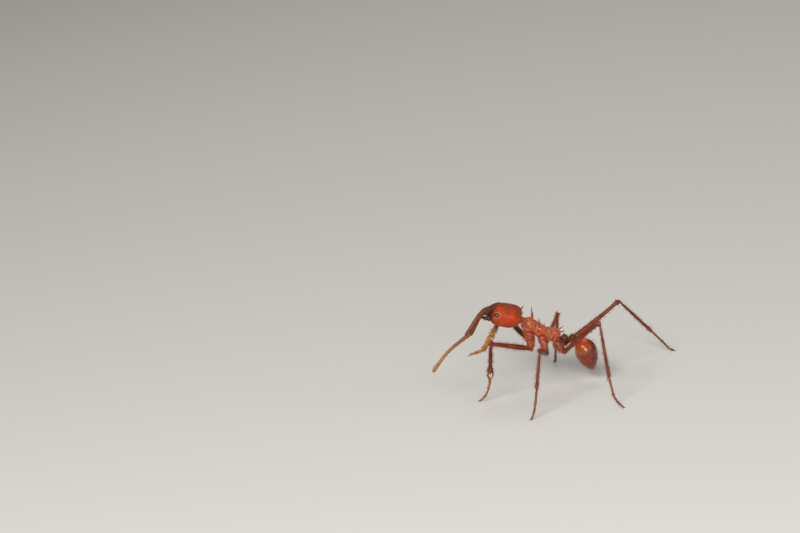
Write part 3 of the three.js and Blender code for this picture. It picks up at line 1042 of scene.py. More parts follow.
class ANT_OT_mouth(bpy.types.Operator):
    """Models the mandibles and the soft mouthparts between them."""

    bl_idname = "ant.mouth"
    bl_label = "Mouth"

    def execute(self, context):
        home = plate("head")
        sizes = context.scene.ant.body
        for name, side in SIDES.items():
            blade = repair(jaw_blade(side, sizes.jaw_length / MM, sizes.jaw_width / MM))
            turn = np.array(Matrix.Rotation(side * math.radians(JAW_TOE_IN), 3, "Z"))
            forward, out, up = JAW_PLACE
            set_coords(blade, coords(blade) @ turn.T)
            set_coords(blade, coords(blade) + (forward, -side * out, up))
            material = ant_material("jaw_shell")
            finish(seat(blade, home), f"mandible_blade_{name}", material, "mandible", f"mandible_{name}")
        upper_lip = lump((1.24, 0, -0.17), (0.2, 0.4, 0.13))
        lower_lip = lump((1.3, 0, -0.42), (0.2, 0.24, 0.14))
        parts = [upper_lip, lower_lip]
        for side in SIDES.values():
            # A lobe of the lower lip with its feeler.
            parts.append(lump((1.34, 0.17 * side, -0.5), (0.22, 0.09, 0.08)))
            feeler = [(1.36, 0.26 * side, -0.52), (1.52, 0.3 * side, -0.6), (1.66, 0.27 * side, -0.66)]
            parts.append(limb(feeler, [(0, 0.04), (0.5, 0.045), (1, 0.02)], 16, 10))
        mouth = fuse(parts, 0.015, 2)
        finish(seat(mouth, home), "mouthparts", ant_material("waist_shell"), "mandible")
        return {"FINISHED"}


EYE_DOME = (1.12, 0.86, 0.44)  # half length, height and depth of an eye, as parts of its radius
EYE_SINK = 0.025  # how far its middle lies under the skin
RIM_OVAL = (1.1, 0.9)  # half length and height of the ring round it, as parts of its radius
RIM_RADIUS = 0.04
RIM_SINK = 0.012


class ANT_OT_eyes(bpy.types.Operator):
    """Models the two compound eyes, low domes in the sides of the head, and the rings round them."""

    bl_idname = "ant.eyes"
    bl_label = "Eyes"

    def execute(self, context):
        radius = context.scene.ant.body.eye_radius / MM
        for name in SIDES:
            turn = np.array(Vector(eye_way(name)).to_track_quat("Z", "Y").to_matrix())
            piece = ball(5)
            set_coords(piece, coords(piece) * radius * EYE_DOME @ turn.T + eye_spot(name))
            finish(piece, f"eye_dome_{name}", ant_material("eye_shell", name), "eye", f"eye_{name}")
            self.rim(name, radius, turn)
        return {"FINISHED"}

    @staticmethod
    def rim(name, radius, turn):
        """The raised ring of shell round an eye, laid on the skin of the head."""
        angles = np.linspace(0, 2 * math.pi, 48, endpoint=False)
        long, high = RIM_OVAL
        oval = np.column_stack([np.cos(angles) * long, np.sin(angles) * high, angles * 0]) * radius
        skin = [on_skin(place) for place in oval @ turn.T + eye_spot(name)]
        path = [spot - RIM_SINK * normal for spot, normal in skin]
        ring = tube(path, [RIM_RADIUS] * len(path), 12, loop=True)
        finish(ring, f"eye_rim_{name}", ant_material("rim_shell"), "shell_head")


# ---------------------------------------------------------------- thorax and waist


def body_ball(name, scale, blunt=2.3, square=2.0, outline=None):
    """The rounded blank of a plate, scaled to leave room for its relief and bristles."""
    home = plate(name)
    piece = ball(5)
    set_coords(piece, plump(coords(piece), home.half * scale, blunt, square, outline))
    return piece


def outness(places, home):
    """How far out places lie in a plate's axes: about 1 on its shell, and more on its spines."""
    return np.linalg.norm(places / home.half, axis=1)


def both(centre, radii):
    """The same lump on both sides of a plate."""
    forward, out, up = centre
    return [lump((forward, side * out, up), radii) for side in SIDES.values()]


# Ridges and grooves of the thorax: line of forward, out, up, width, height.
THORAX_FEATURES = {
    "pronotum": (
        (((0.62, 0.0, 0.5), (0.66, 0.36, 0.3), (0.66, 0.46, -0.1), (0.6, 0.4, -0.4)), 0.05, 0.035),
        (((0.78, 0.0, 0.36), (0.8, 0.3, 0.16), (0.8, 0.34, -0.16)), 0.05, -0.03),
        (((0.55, 0.56, -0.12), (0.1, 0.66, -0.2), (-0.45, 0.58, -0.08)), 0.04, -0.05),
        (((0.4, 0.58, 0.02), (-0.1, 0.68, 0.0), (-0.45, 0.6, 0.1)), 0.045, 0.035),
        (((-0.62, 0.0, 0.5), (-0.62, 0.4, 0.34), (-0.6, 0.58, 0.0)), 0.06, -0.05),
        (((0.45, 0.0, 0.6), (-0.4, 0.0, 0.66)), 0.07, -0.03),
    ),
    "mesothorax": (
        (((0.5, 0.0, 0.5), (0.5, 0.36, 0.3), (0.46, 0.5, 0.0)), 0.05, -0.05),
        (((0.4, 0.5, -0.36), (0.0, 0.58, -0.14), (-0.5, 0.5, 0.12)), 0.035, -0.05),
        (((0.3, 0.52, -0.1), (-0.1, 0.58, 0.08), (-0.4, 0.48, 0.24)), 0.04, 0.035),
        (((-0.62, 0.0, 0.4), (-0.6, 0.34, 0.26), (-0.6, 0.46, -0.1)), 0.06, -0.06),
        (((0.2, 0.0, 0.52), (-0.4, 0.0, 0.5)), 0.08, -0.035),
    ),
    "propodeum": (
        (((0.6, 0.5, 0.1), (0.1, 0.54, -0.04), (-0.55, 0.5, -0.1)), 0.035, -0.045),
        (((0.5, 0.4, 0.42), (0.0, 0.42, 0.48), (-0.4, 0.34, 0.5)), 0.06, 0.045),
        (((0.4, 0.0, 0.56), (-0.5, 0.0, 0.56)), 0.1, -0.04),
        (((-0.02, 0.56, 0.12),), 0.05, -0.05),
        (((0.04, 0.56, 0.2), (-0.1, 0.56, 0.18), (-0.12, 0.56, 0.06)), 0.035, 0.025),
        (((-0.35, 0.5, -0.34), (-0.68, 0.44, -0.3)), 0.03, -0.03),
    ),
}
# The blank of each plate: its scale, how blunt and how square it is, and its width, top and bottom
# from the rear (-1) to the front (1).
THORAX_BLANKS = {
    "pronotum": (0.93, 2.2, 2.0, lambda t: (1 - 0.25 * t * t, 1 - 0.12 * t, 1 - 0.1 * t)),
    "mesothorax": (0.95, 2.6, 2.0, None),
    "propodeum": (0.93, 3.2, 2.5, lambda t: (1 - 0.12 * abs(t), 1 - 0.1 * t, np.ones_like(t))),
}
# Bosses of the thorax, the same on both sides: middle (forward, out, up) and half sizes.
THORAX_BOSSES = {
    "pronotum": (((0.2, 0.38, 0.32), (0.24, 0.2, 0.18)), ((0.15, 0.36, -0.38), (0.4, 0.24, 0.24))),
    "mesothorax": (
        ((-0.02, 0.32, -0.28), (0.46, 0.24, 0.28)),
        ((0.3, 0.27, 0.26), (0.17, 0.13, 0.16)),
        ((-0.22, 0.23, 0.27), (0.15, 0.11, 0.14)),
    ),
    "propodeum": (((-0.5, 0.35, -0.34), (0.26, 0.16, 0.18)), ((0.05, 0.4, -0.12), (0.3, 0.13, 0.16))),
}
# Grain size and height of the wrinkles, which fade out from the plates to their spines.
THORAX_WRINKLES = (("BLENDER_ORIGINAL", 0.28, 0.1), ("VORONOI_F2_F1", 0.1, 0.05))
COXA_WRINKLES = (("BLENDER_ORIGINAL", 0.15, 0.06), ("VORONOI_F2_F1", 0.1, 0.035))
SPINES_OUT = (1.2, 1.4)  # how far out on a plate its spines begin


class ANT_OT_thorax(bpy.types.Operator):
    """Models the three plates of the thorax, with their spines, bosses and furrows."""

    bl_idname = "ant.thorax"
    bl_label = "Thorax"

    def execute(self, context):
        for node, blank in THORAX_BLANKS.items():
            parts = [body_ball(node, *blank)]
            if node == "pronotum":
                neck = [(0.55, 0, -0.02), (0.95, 0, 0.0), (1.3, 0, 0.03)]
                parts.append(limb(neck, [(0, 0.38), (0.5, 0.24), (1, 0.2)]))
            parts += spines(node)
            for middle, radii in THORAX_BOSSES[node]:
                parts += both(middle, radii)
            self.plate(parts, node)
        return {"FINISHED"}

    @staticmethod
    def plate(parts, node):
        """Fuses a plate, works its furrows in and wrinkles it, except on its spines."""
        home = plate(node)
        piece = fuse(parts, 0.013, 4)
        work(piece, THORAX_FEATURES[node])
        even = coords(piece)
        for basis, size, height in THORAX_WRINKLES:
            wrinkle(piece, basis, size, height)
        apply_modifier(piece, "SMOOTH", factor=0.5, iterations=1)
        share = 1 - step(outness(even, home), *SPINES_OUT)
        set_coords(piece, even + (coords(piece) - even) * share[:, None])
        finish(seat(piece, home), f"{node}_plate", ant_material("thorax_shell"), "shell_thorax", node)


class ANT_OT_waist(bpy.types.Operator):
    """Models the petiole and the postpetiole, with the necks that join them."""

    bl_idname = "ant.waist"
    bl_label = "Waist"

    def execute(self, context):
        knob = body_ball("petiole", 0.95, outline=lambda t: (t * 0 + 1, 1 - 0.2 * t, t * 0 + 1))
        stalk = limb([(0.72, 0, -0.02), (0.42, 0, -0.1), (0, 0, -0.1)], [(0, 0.2), (0.5, 0.13), (1, 0.2)])
        link = limb([(0, 0, -0.08), (-0.35, 0, -0.12), (-0.6, 0, -0.1)], [(0, 0.2), (0.6, 0.13), (1, 0.16)])
        self.knob([knob, stalk, link, *both((-0.02, 0.12, 0.24), (0.08, 0.07, 0.12))], "petiole")

        knob = body_ball("postpetiole", 0.95, outline=lambda t: (1 - 0.2 * t, t * 0 + 1, t * 0 + 1))
        path = [(0, 0, -0.06), (-0.3, 0, -0.14), (-0.56, 0, -0.24)]
        link = limb(path, [(0, 0.26), (0.6, 0.22), (1, 0.24)])
        self.knob([knob, link, *both((-0.08, 0.2, 0.18), (0.16, 0.14, 0.12))], "postpetiole")
        return {"FINISHED"}

    @staticmethod
    def knob(parts, node):
        """Fuses a knob of the waist with its necks, and roughens it a little."""
        piece = fuse(parts, 0.012, 4)
        wrinkle(piece, "BLENDER_ORIGINAL", 0.12, 0.03)
        finish(seat(piece, plate(node)), f"{node}_knob", ant_material("waist_shell"), "shell_waist", node)


# ---------------------------------------------------------------- the gaster

# The envelope of the gaster: forward along its axis, and half its width there.
GASTER_ENVELOPE = (
    (-1.66, 0.04), (-1.58, 0.17), (-1.45, 0.31), (-1.2, 0.54), (-0.9, 0.72), (-0.55, 0.84), (-0.2, 0.905),
    (0.1, 0.91), (0.45, 0.82), (0.75, 0.62), (0.94, 0.38), (1.03, 0.17), (1.06, 0.05),
)
# Where each plate ends at the rear, and where it starts under the one before.
GASTER_PLATES = ((-0.56, None), (-0.9, -0.3), (-1.2, -0.64), (-1.45, -0.95), (-1.66, -1.22))
PLATE_STEP = 0.018  # how much slimmer each plate is than the one before
SEAM = (-0.3, 0.03, 0.018)  # height of the seam low on each side, its width and its depth
LIP = 0.014  # how far the rear edge of a plate stands out
TUCK = 0.05  # how far the front edge of a plate dips under the one before
# The rounded rear edge: how far in it turns, and its radius as a part of the lip's.
LIP_TURNS = ((0.012, 0.985), (0.02, 0.95), (0.022, 0.8), (0.024, 0.4), (0.026, 0.05))


class ANT_OT_gaster(bpy.types.Operator):
    """Models the plates of the gaster, each one sliding out from under the one before."""

    bl_idname = "ant.gaster"
    bl_label = "Gaster"

    def execute(self, context):
        home = plate("gaster")
        share = home.half[2] / home.half[1]
        later = []
        for number, (end, start) in enumerate(GASTER_PLATES):
            piece = self.ring(end, start, 1 - PLATE_STEP * number)
            set_coords(piece, coords(piece) * (1, 1, share))
            places = coords(piece)
            height, width, depth = SEAM
            seam = np.exp(-(((places[:, 2] - height) / width) ** 2)) * step(abs(places[:, 1]), 0.2, 0.5)
            push(piece, -depth * seam)
            seat(piece, home)
            if number == 0:
                finish(piece, "gaster_plate_1", ant_material("gaster_shell"), "shell_gaster", "gaster")
            else:
                later.append(piece)
        for number, piece in enumerate(later, 2):
            nodes = ("gaster_tip",) if number == 2 else ()
            name = f"gaster_plate_{number}"
            finish(piece, name, ant_material("gaster_tip_shell"), "shell_gaster", *nodes)
        return {"FINISHED"}

    @staticmethod
    def ring(end, start, share):
        """One plate, from its front or its start under the last plate to its lip at the rear."""
        front = GASTER_ENVELOPE[-1][0] if start is None else start
        s = np.linspace(0, 1, 60)
        at = front + (end - front) * np.sin(s * math.pi / 2)
        last = end == GASTER_ENVELOPE[0][0]
        radii = smooth(GASTER_ENVELOPE, at) * share
        if start is not None:
            radii -= TUCK * step(at, start - 0.12, start)
        if not last:
            radii += LIP * step(-at, -end - 0.07, -end - 0.02)
            inward, shares = np.array(LIP_TURNS).T
            at = np.concatenate([at, end - inward])
            radii = np.concatenate([radii, radii[-1] * shares])
        if start is not None:
            at = np.concatenate([[at[0] + 0.01], at])
            radii = np.concatenate([[0.05], radii])
        path = np.column_stack([at, np.zeros_like(at), np.zeros_like(at)])
        return tube(path, radii, 96)


# ---------------------------------------------------------------- antennae

# Lengths of the ten joints of a funiculus, as parts of the whole.
FUNICULUS_JOINTS = (0.115, 0.085, 0.085, 0.09, 0.092, 0.095, 0.097, 0.1, 0.1, 0.141)


def resample(joints, count):
    """A smooth path through joints, in even steps."""
    joints = np.array(joints)
    steps = np.linalg.norm(np.diff(joints, axis=0), axis=1)
    along = np.concatenate([[0], np.cumsum(steps)])
    at = np.linspace(0, along[-1], count)
    return smooth(list(zip(along, joints)), at)


def along_path(path, at):
    """Places on a path of even steps, at parts of its length."""
    steps = np.linspace(0, 1, len(path))
    return np.column_stack([np.interp(at, steps, path[:, k]) for k in range(3)])


class ANT_OT_antennae(bpy.types.Operator):
    """Models both antennae: a bent scape, and a funiculus of ten beaded joints."""

    bl_idname = "ant.antennae"
    bl_label = "Antennae"

    def execute(self, context):
        sizes = context.scene.ant.limb
        for name in SIDES:
            socket, bend, elbow, middle, tip = antenna_joints(name)
            stout = sizes.scape / MM
            stops = [
                (0, 0.06), (0.02, 0.1), (0.045, 0.11), (0.07, 0.07), (0.11, 0.075), (0.2, stout * 0.75),
                (0.5, stout * 0.9), (0.8, stout), (0.93, stout), (0.98, stout * 0.8), (1, 0.04),
            ]
            scape = limb([socket, bend, elbow], stops, 80, 24)
            finish(scape, f"scape_{name}_shaft", ant_material("scape_shell"), "limb", f"scape_{name}")
            self.funiculus(name, [elbow, middle, tip], sizes.funiculus / MM)
        return {"FINISHED"}

    @staticmethod
    def funiculus(name, joints, stout):
        """Ten beaded joints, in two halves that meet at the middle."""
        path = resample(joints, 600)
        ends = np.concatenate([[0], np.cumsum(FUNICULUS_JOINTS)])
        halves = ([], [])
        for number, (start, end) in enumerate(zip(ends[:-1], ends[1:])):
            s = np.linspace(0, 1, 14)
            at = start + (end - start) * s
            girth = stout * (0.6 + 0.4 * step(at, 0.05, 0.9))
            barrel = 0.62 + 0.38 * np.sin(np.clip(s * 1.08, 0, 1) * math.pi) ** 0.4
            if number == len(FUNICULUS_JOINTS) - 1:
                barrel = np.where(s < 0.5, barrel, (1 - ((s - 0.5) / 0.505) ** 2.2) ** 0.5)
            radii = girth * barrel
            radii[0] *= 0.8
            halves[at.mean() > 0.5].append(tube(along_path(path, at), np.maximum(radii, 0.01), 20))
        for pieces, part in zip(halves, ("funiculus", "club")):
            material = ant_material("funiculus_shell", name)
            finish(join(*pieces), f"{part}_{name}_beads", material, "funiculus", f"{part}_{name}")


# ---------------------------------------------------------------- legs


HOOK_BEND = 0.6  # the share of its length by which a hook bends


def hook(start, way, bend, reach, foot):
    """A curved claw or spur from a place, that starts along one direction and bends to another."""
    s = np.linspace(0, 1, 12)[:, None]
    straight = s * np.array(way) * (1 - 0.4 * s)
    path = np.array(start) + reach * (straight + s**2 * HOOK_BEND * np.array(bend))
    radii = foot * (1 - s[:, 0]) ** 0.7 + 0.005
    return tube(path, radii, 10)


# Girths of the segments, as parts of the sizes set for the limbs.
COXA_SHARES = {"fore": 1.0, "mid": 0.8, "hind": 0.95}
FEMUR_SHARES = {"fore": 1.08, "mid": 0.85, "hind": 1.0}
TIBIA_SHARES = {"fore": 1.0, "mid": 0.72, "hind": 0.72}
LIFTED_FOOT_SHARE = 1.5  # the foot of the lifted foreleg is stouter than the others
FEMUR_BOWS = {"hind_right": -0.09, "hind_left": 0.06}  # how far the middle of a femur is bowed up
TIBIA_FLARES = {"fore_left": 1.42, "fore_right": 1.05}  # girth at the ankle, 1.1 on the other legs

# The cleaner of a foreleg: the girth of its joint, how far the joint bows away from the spur, and the
# direction across which the notch is seen open.
CLEANER_GIRTHS = {"fore_left": 0.6, "fore_right": 1.3}
CLEANER_BOWS = {"fore_left": 0.19, "fore_right": 0.12}
CLEANER_VIEW = (0.0, 0.956, -0.292)

# The four outer joints of a tarsus, as parts of its length.
FOOT_JOINTS = ((0, 0.27), (0.27, 0.46), (0.46, 0.62), (0.62, 1))
GROUND = 0.01  # a toe that is lower than this stands on the floor
TOE_LIFT = 0.09  # how high the last joint of a standing foot ends, on its claws
FOOT_DIP = 0.12  # how far a standing foot sags towards the floor
CLAW_LENGTH = 0.26
CLAW_RADIUS = 0.034
CLAW_TIP_HEIGHT = 0.02  # of the claws of a standing foot, over the floor
DOWN = np.array([0.0, 0.0, -1.0])


def tarsus_material(tag):
    """Golden on the forelegs, brown on the others."""
    leg, side = tag.split("_")
    return ant_material("golden_tarsus_shell", side) if leg == "fore" else ant_material("tarsus_shell")


class ANT_OT_legs(bpy.types.Operator):
    """Models the six legs, each from its coxa to its claws."""

    bl_idname = "ant.legs"
    bl_label = "Legs"

    def execute(self, context):
        for leg, side in STANCE:
            self.leg(leg, side, context.scene.ant.limb)
        return {"FINISHED"}

    def leg(self, leg, side, sizes):
        tag = f"{leg}_{side}"
        hip, trochanter, knee, ankle, heel, toe = leg_joints(leg, side)
        self.coxa(tag, hip, trochanter, sizes.coxa / MM * COXA_SHARES[leg])
        self.femur(tag, trochanter, knee, sizes.femur / MM * FEMUR_SHARES[leg])
        self.tibia(tag, leg, knee, ankle, heel, sizes.tibia / MM)
        self.tarsus(tag, leg, ankle, heel, sizes.tarsus / MM)
        lifted = LIFTED_FOOT_SHARE if tag == "fore_right" else 1
        path = self.foot(tag, heel, toe, sizes.foot / MM * lifted)
        self.claws(tag, path, toe[2] < GROUND)

    @staticmethod
    def coxa(tag, hip, trochanter, stout):
        """The stout, wrinkled first segment of a leg."""
        stops = [
            (0, 0.16), (0.08, stout * 0.8), (0.25, stout * 0.97), (0.45, stout), (0.7, stout * 0.86),
            (0.9, stout * 0.62), (1, 0.12),
        ]
        piece = fuse([limb([hip, trochanter], stops, 40, 28)], 0.02, 3)
        for basis, size, height in COXA_WRINKLES:
            wrinkle(piece, basis, size, height)
        finish(piece, f"coxa_{tag}", ant_material("coxa_shell"), "limb", f"{tag}_coxa")

    @staticmethod
    def femur(tag, trochanter, knee, stout):
        """The long segment up to the knee, with a narrow ring near its root."""
        way = unit(knee - trochanter)
        bow = (0, 0, FEMUR_BOWS.get(tag, 0))
        stops = [
            (0, 0.08), (0.02, stout * 0.95), (0.05, stout), (0.075, stout * 0.78), (0.1, stout * 0.84),
            (0.3, stout), (0.5, stout * 0.98), (0.8, stout * 0.82), (0.93, stout * 0.86),
            (0.975, stout * 1.1), (1, 0.06),
        ]
        start, end = trochanter - way * 0.1, knee + way * 0.05
        piece = limb([start, end], stops, 72, 24, bow)
        finish(piece, f"femur_{tag}", ant_material("limb_shell"), "limb", f"{tag}_femur")

    @staticmethod
    def tibia(tag, leg, knee, ankle, heel, stout):
        """The segment from the knee to the ankle, with a spur there on the middle and hind legs."""
        way = unit(ankle - knee)
        stout *= TIBIA_SHARES[leg]
        flare = TIBIA_FLARES.get(tag, 1.1)
        stops = [
            (0, 0.05), (0.025, stout * 0.85), (0.06, stout * 0.62), (0.14, stout * 0.7),
            (0.5, stout * 0.95), (0.82, stout), (0.94, stout * flare), (0.98, stout * flare * 0.8),
            (1, 0.06),
        ]
        piece = limb([knee, ankle], stops, 60, 24)
        if leg != "fore":
            onward = unit(heel - ankle)
            inner = unit(np.cross(onward, np.cross(way, onward)))
            spur = hook(ankle - way * 0.1 + inner * 0.08, onward + inner * 0.6, onward, 0.34, 0.03)
            join(piece, spur)
        shade = ("lifted_tibia_shell", "right") if tag == "fore_right" else ("limb_shell",)
        finish(piece, f"tibia_{tag}", ant_material(*shade), "limb", f"{tag}_tibia")

    @staticmethod
    def tarsus(tag, leg, ankle, heel, stout):
        """The long first joint of a tarsus, with the antenna cleaner on the forelegs."""
        way = unit(heel - ankle)
        if leg != "fore":
            stops = [
                (0, 0.03), (0.03, stout * 0.8), (0.08, stout * 0.75), (0.2, stout * 0.85),
                (0.8, stout * 0.8), (0.95, stout), (1, 0.04),
            ]
            piece = limb([ankle - way * 0.05, heel], stops, 44, 18)
        else:
            # The antenna cleaner: a notch in the flat base of the joint, closed by a curved spur.
            broad = unit(np.cross(way, CLEANER_VIEW))
            bowed = ankle + way * 0.22 - broad * CLEANER_BOWS[tag]
            path = resample([ankle - way * 0.05, bowed, ankle + way * 0.5, heel], 60)
            at = np.linspace(0, 1, 60)
            stops = [
                (0, 0.04), (0.04, 0.1), (0.12, 0.085), (0.25, 0.11), (0.4, 0.15), (0.75, 0.13),
                (0.95, 0.12), (1, 0.04),
            ]
            piece = tube(path, smooth(stops, at) * CLEANER_GIRTHS[tag], 20)
            start = ankle - way * 0.12 + broad * 0.1
            spur = hook(start, broad * 0.9 + way * 0.7, way * 1.2 - broad * 0.9, 0.6, 0.08)
            join(piece, spur)
        finish(piece, f"tarsus_{tag}", tarsus_material(tag), "tarsus", f"{tag}_tarsus")

    @staticmethod
    def foot(tag, heel, toe, stout):
        """Makes the outer joints of a tarsus, and gives the path through them."""
        ground = toe[2] < GROUND
        end = toe - DOWN * TOE_LIFT * ground
        path = resample([heel, (heel + end) / 2 + DOWN * FOOT_DIP * ground, end], 200)
        beads = []
        for number, (start, stop) in enumerate(FOOT_JOINTS):
            s = np.linspace(0, 1, 16)
            if number < len(FOOT_JOINTS) - 1:
                girth = stout * (0.62 + 0.38 * step(s, 0.1, 0.85)) * (1 - 0.35 * step(s, 0.93, 1))
            else:
                girth = stout * (0.5 + 0.4 * step(s, 0.1, 0.9)) * (1 - 0.4 * step(s, 0.93, 1))
            girth[[0, -1]] *= 0.6
            beads.append(tube(along_path(path, start + (stop - start) * s), girth, 16))
        finish(join(*beads), f"foot_{tag}", tarsus_material(tag), "tarsus", f"{tag}_foot")
        return path

    @staticmethod
    def claws(tag, path, ground):
        """Makes the two claws at the end of a foot's path, with the pad between them."""
        ahead = unit(path[-1] - path[-30])
        drop = 0.8
        if ground:
            # The claws lie forward over the floor, and only their tips come down to it.
            ahead = unit(ahead * (1, 1, 0))
            drop = (path[-1][2] - CLAW_TIP_HEIGHT) / (HOOK_BEND * CLAW_LENGTH)
        across = unit(np.cross(ahead, DOWN))
        parts = []
        for turn in (-1, 1):
            way = unit(ahead + 0.6 * turn * across)
            bend = ahead * 0.5 + 0.3 * turn * across + drop * DOWN
            parts.append(hook(path[-1] - ahead * 0.03, way, bend, CLAW_LENGTH, CLAW_RADIUS))
        parts.append(lump(path[-1] + ahead * 0.04, (0.04, 0.04, 0.03), 3))
        finish(join(*parts), f"claws_{tag}", ant_material("claw_shell"), "tarsus")


# ---------------------------------------------------------------- bristles

PATCH = 0.003  # side of a bristle's place on the map of its skin
RING_PARTS = (0.0, 0.35, 0.7)  # where the rings of a bristle lie along it
RING_GIRTHS = (1.0, 0.8, 0.45)
RING_SIDES = 6
DEEPEST_ROOT = 0.03  # how far under the skin a root starts at most
LOWEST_BRISTLE = 0.2  # the height from which a leg has bristles, so that they clear the floor


def faces_of(piece):
    """Corners of the triangles of a finished piece, in millimetres."""
    mesh = piece.data
    mesh.calc_loop_triangles()
    corners = np.empty(len(mesh.loop_triangles) * 3, np.int64)
    mesh.loop_triangles.foreach_get("vertices", corners)
    return (coords(piece) / MM)[corners].reshape(-1, 3, 3)


def scatter(piece, count, draw, keep):
    """Evenly spread places on a skin, with their normals, where keep(places, normals) allows."""
    corners = faces_of(piece)
    cross = np.cross(corners[:, 1] - corners[:, 0], corners[:, 2] - corners[:, 0])
    area = np.linalg.norm(cross, axis=1)
    normals = cross / np.maximum(area, 1e-12)[:, None]
    weight = area * keep(corners.mean(axis=1), normals)
    tries = min(len(corners), count * 4)
    chosen = draw.choice(len(corners), size=tries, p=weight / weight.sum())
    a, b = draw.random((2, tries, 1))
    flip = a + b > 1
    a, b = np.where(flip, 1 - a, a), np.where(flip, 1 - b, b)
    tri = corners[chosen]
    places = tri[:, 0] + a * (tri[:, 1] - tri[:, 0]) + b * (tri[:, 2] - tri[:, 0])
    apart = 0.62 * math.sqrt((area * (weight > 0)).sum() / 2 / count)
    kept = []
    for number in range(tries):
        if len(kept) == count:
            break
        if kept and (((places[kept] - places[number]) ** 2).sum(axis=1) < apart**2).any():
            continue
        kept.append(number)
    return places[kept], normals[chosen][kept]


class Coat:
    """Bristles of one region, which become one mesh."""

    def __init__(self, name, tiles):
        self.name = name
        self.tiles = math.ceil(math.sqrt(tiles))
        self.tile = 0
        self.rows = []

    def plant(self, piece, count, reach, radius, axis, lean, stray=0.25, keep=None, sag=0.15):
        """Adds bristles on a skin. axis is its (start, end) line, along which they lean."""
        settings = bpy.context.scene.ant.bristle
        draw = np.random.default_rng([settings.seed, len(self.name), self.tile])
        count = max(1, round(count * settings.share))
        roots, normals = scatter(piece, count, draw, keep or (lambda places, _: np.ones(len(places))))
        start, end = np.array(axis[0]), np.array(axis[1])
        way = unit(end - start)
        side = unit(np.cross(way, (0.13, 0.31, 0.94)))
        other = np.cross(way, side)
        offset = roots - start
        along = (offset @ way) / np.linalg.norm(end - start)
        turn = np.arctan2(offset @ side, offset @ other) / (2 * math.pi) + 0.5
        flow = way - normals * (normals @ way)[:, None]
        aim = normals + lean * flow + stray * draw.normal(size=normals.shape)
        aim /= np.linalg.norm(aim, axis=1)[:, None]
        lengths = reach * (0.65 + 0.6 * draw.random(len(roots)))
        row, column = divmod(self.tile, self.tiles)
        place_u = (column + 0.04 + 0.9 * turn) / self.tiles
        place_v = (row + 0.04 + 0.9 * np.clip(along, 0, 1)) / self.tiles
        self.tile += 1
        bend = flow * sag
        for values in zip(roots, normals, aim, bend, lengths, place_u, place_v):
            self.rows.append((*values, radius))

    def grow(self, slot, material="bristle_shell"):
        """Makes the mesh of all planted bristles, closed at the root, with their map."""
        columns = [np.array(column) for column in zip(*self.rows)]
        roots, normals, aims, bends, reach, place_u, place_v, radius = columns
        reach, radius = reach[:, None], radius[:, None]
        side = np.cross(aims, (0.31, 0.13, 0.94))
        side /= np.linalg.norm(side, axis=1)[:, None]
        other = np.cross(aims, side)
        roots = roots - normals * np.minimum(radius * 1.5, DEEPEST_ROOT)
        rings = []
        for part, girth in zip(RING_PARTS, RING_GIRTHS):
            middle = roots + reach * (part * aims + part**2 * bends)
            for corner in range(RING_SIDES):
                angle = 2 * math.pi * corner / RING_SIDES
                spoke = math.cos(angle) * side + math.sin(angle) * other
                rings.append(middle + radius * girth * spoke)
        rings.append(roots + reach * (aims + bends))
        places = np.stack(rings, axis=1).reshape(-1, 3)
        pattern, marks = bristle_faces()
        firsts = range(0, len(places), len(rings))
        faces = [[first + corner for corner in face] for first in firsts for face in pattern]
        mesh = bpy.data.meshes.new(self.name)
        mesh.from_pydata(places.tolist(), [], faces)
        corner_marks = np.array([mark for face in marks for mark in face]) * PATCH
        at = np.column_stack([place_u, place_v])
        places_uv = (at[:, None, :] + corner_marks[None]).reshape(-1)
        layer = mesh.uv_layers.new(name="OFBake")
        layer.data.foreach_set("uv", places_uv)
        piece = bpy.data.objects.new(self.name, mesh)
        bpy.context.scene.collection.objects.link(piece)
        finish(piece, self.name, ant_material(material), slot)


def bristle_faces():
    """The faces of one bristle, and where their corners lie in its patch, from 0 to 1."""
    n = RING_SIDES
    faces = [list(reversed(range(n)))]
    turns = [2 * math.pi * k / n for k in reversed(range(n))]
    marks = [[(0.5 + 0.5 * math.cos(turn), 0.05 + 0.05 * math.sin(turn)) for turn in turns]]
    heights = [*RING_PARTS, 1.0]
    for ring in range(len(RING_PARTS) - 1):
        for k in range(n):
            low, high = ring * n + k, ring * n + (k + 1) % n
            faces.append([low, high, high + n, low + n])
            left, right = k / n, (k + 1) / n
            bottom, top = heights[ring], heights[ring + 1]
            marks.append([(left, bottom), (right, bottom), (right, top), (left, top)])
    last = (len(RING_PARTS) - 1) * n
    for k in range(n):
        faces.append([last + k, last + (k + 1) % n, last + n])
        marks.append([(k / n, heights[-2]), ((k + 1) / n, heights[-2]), ((k + 0.5) / n, 1.0)])
    return faces, marks


def ends_of(home, front, rear):
    """The line along which the bristles of a plate lean, from its front to its rear."""
    return home.out_of((front, 0, 0)), home.out_of((rear, 0, 0))


def clear_of_floor(places, _):
    """Where on a leg bristles may start."""
    return places[:, 2] > LOWEST_BRISTLE


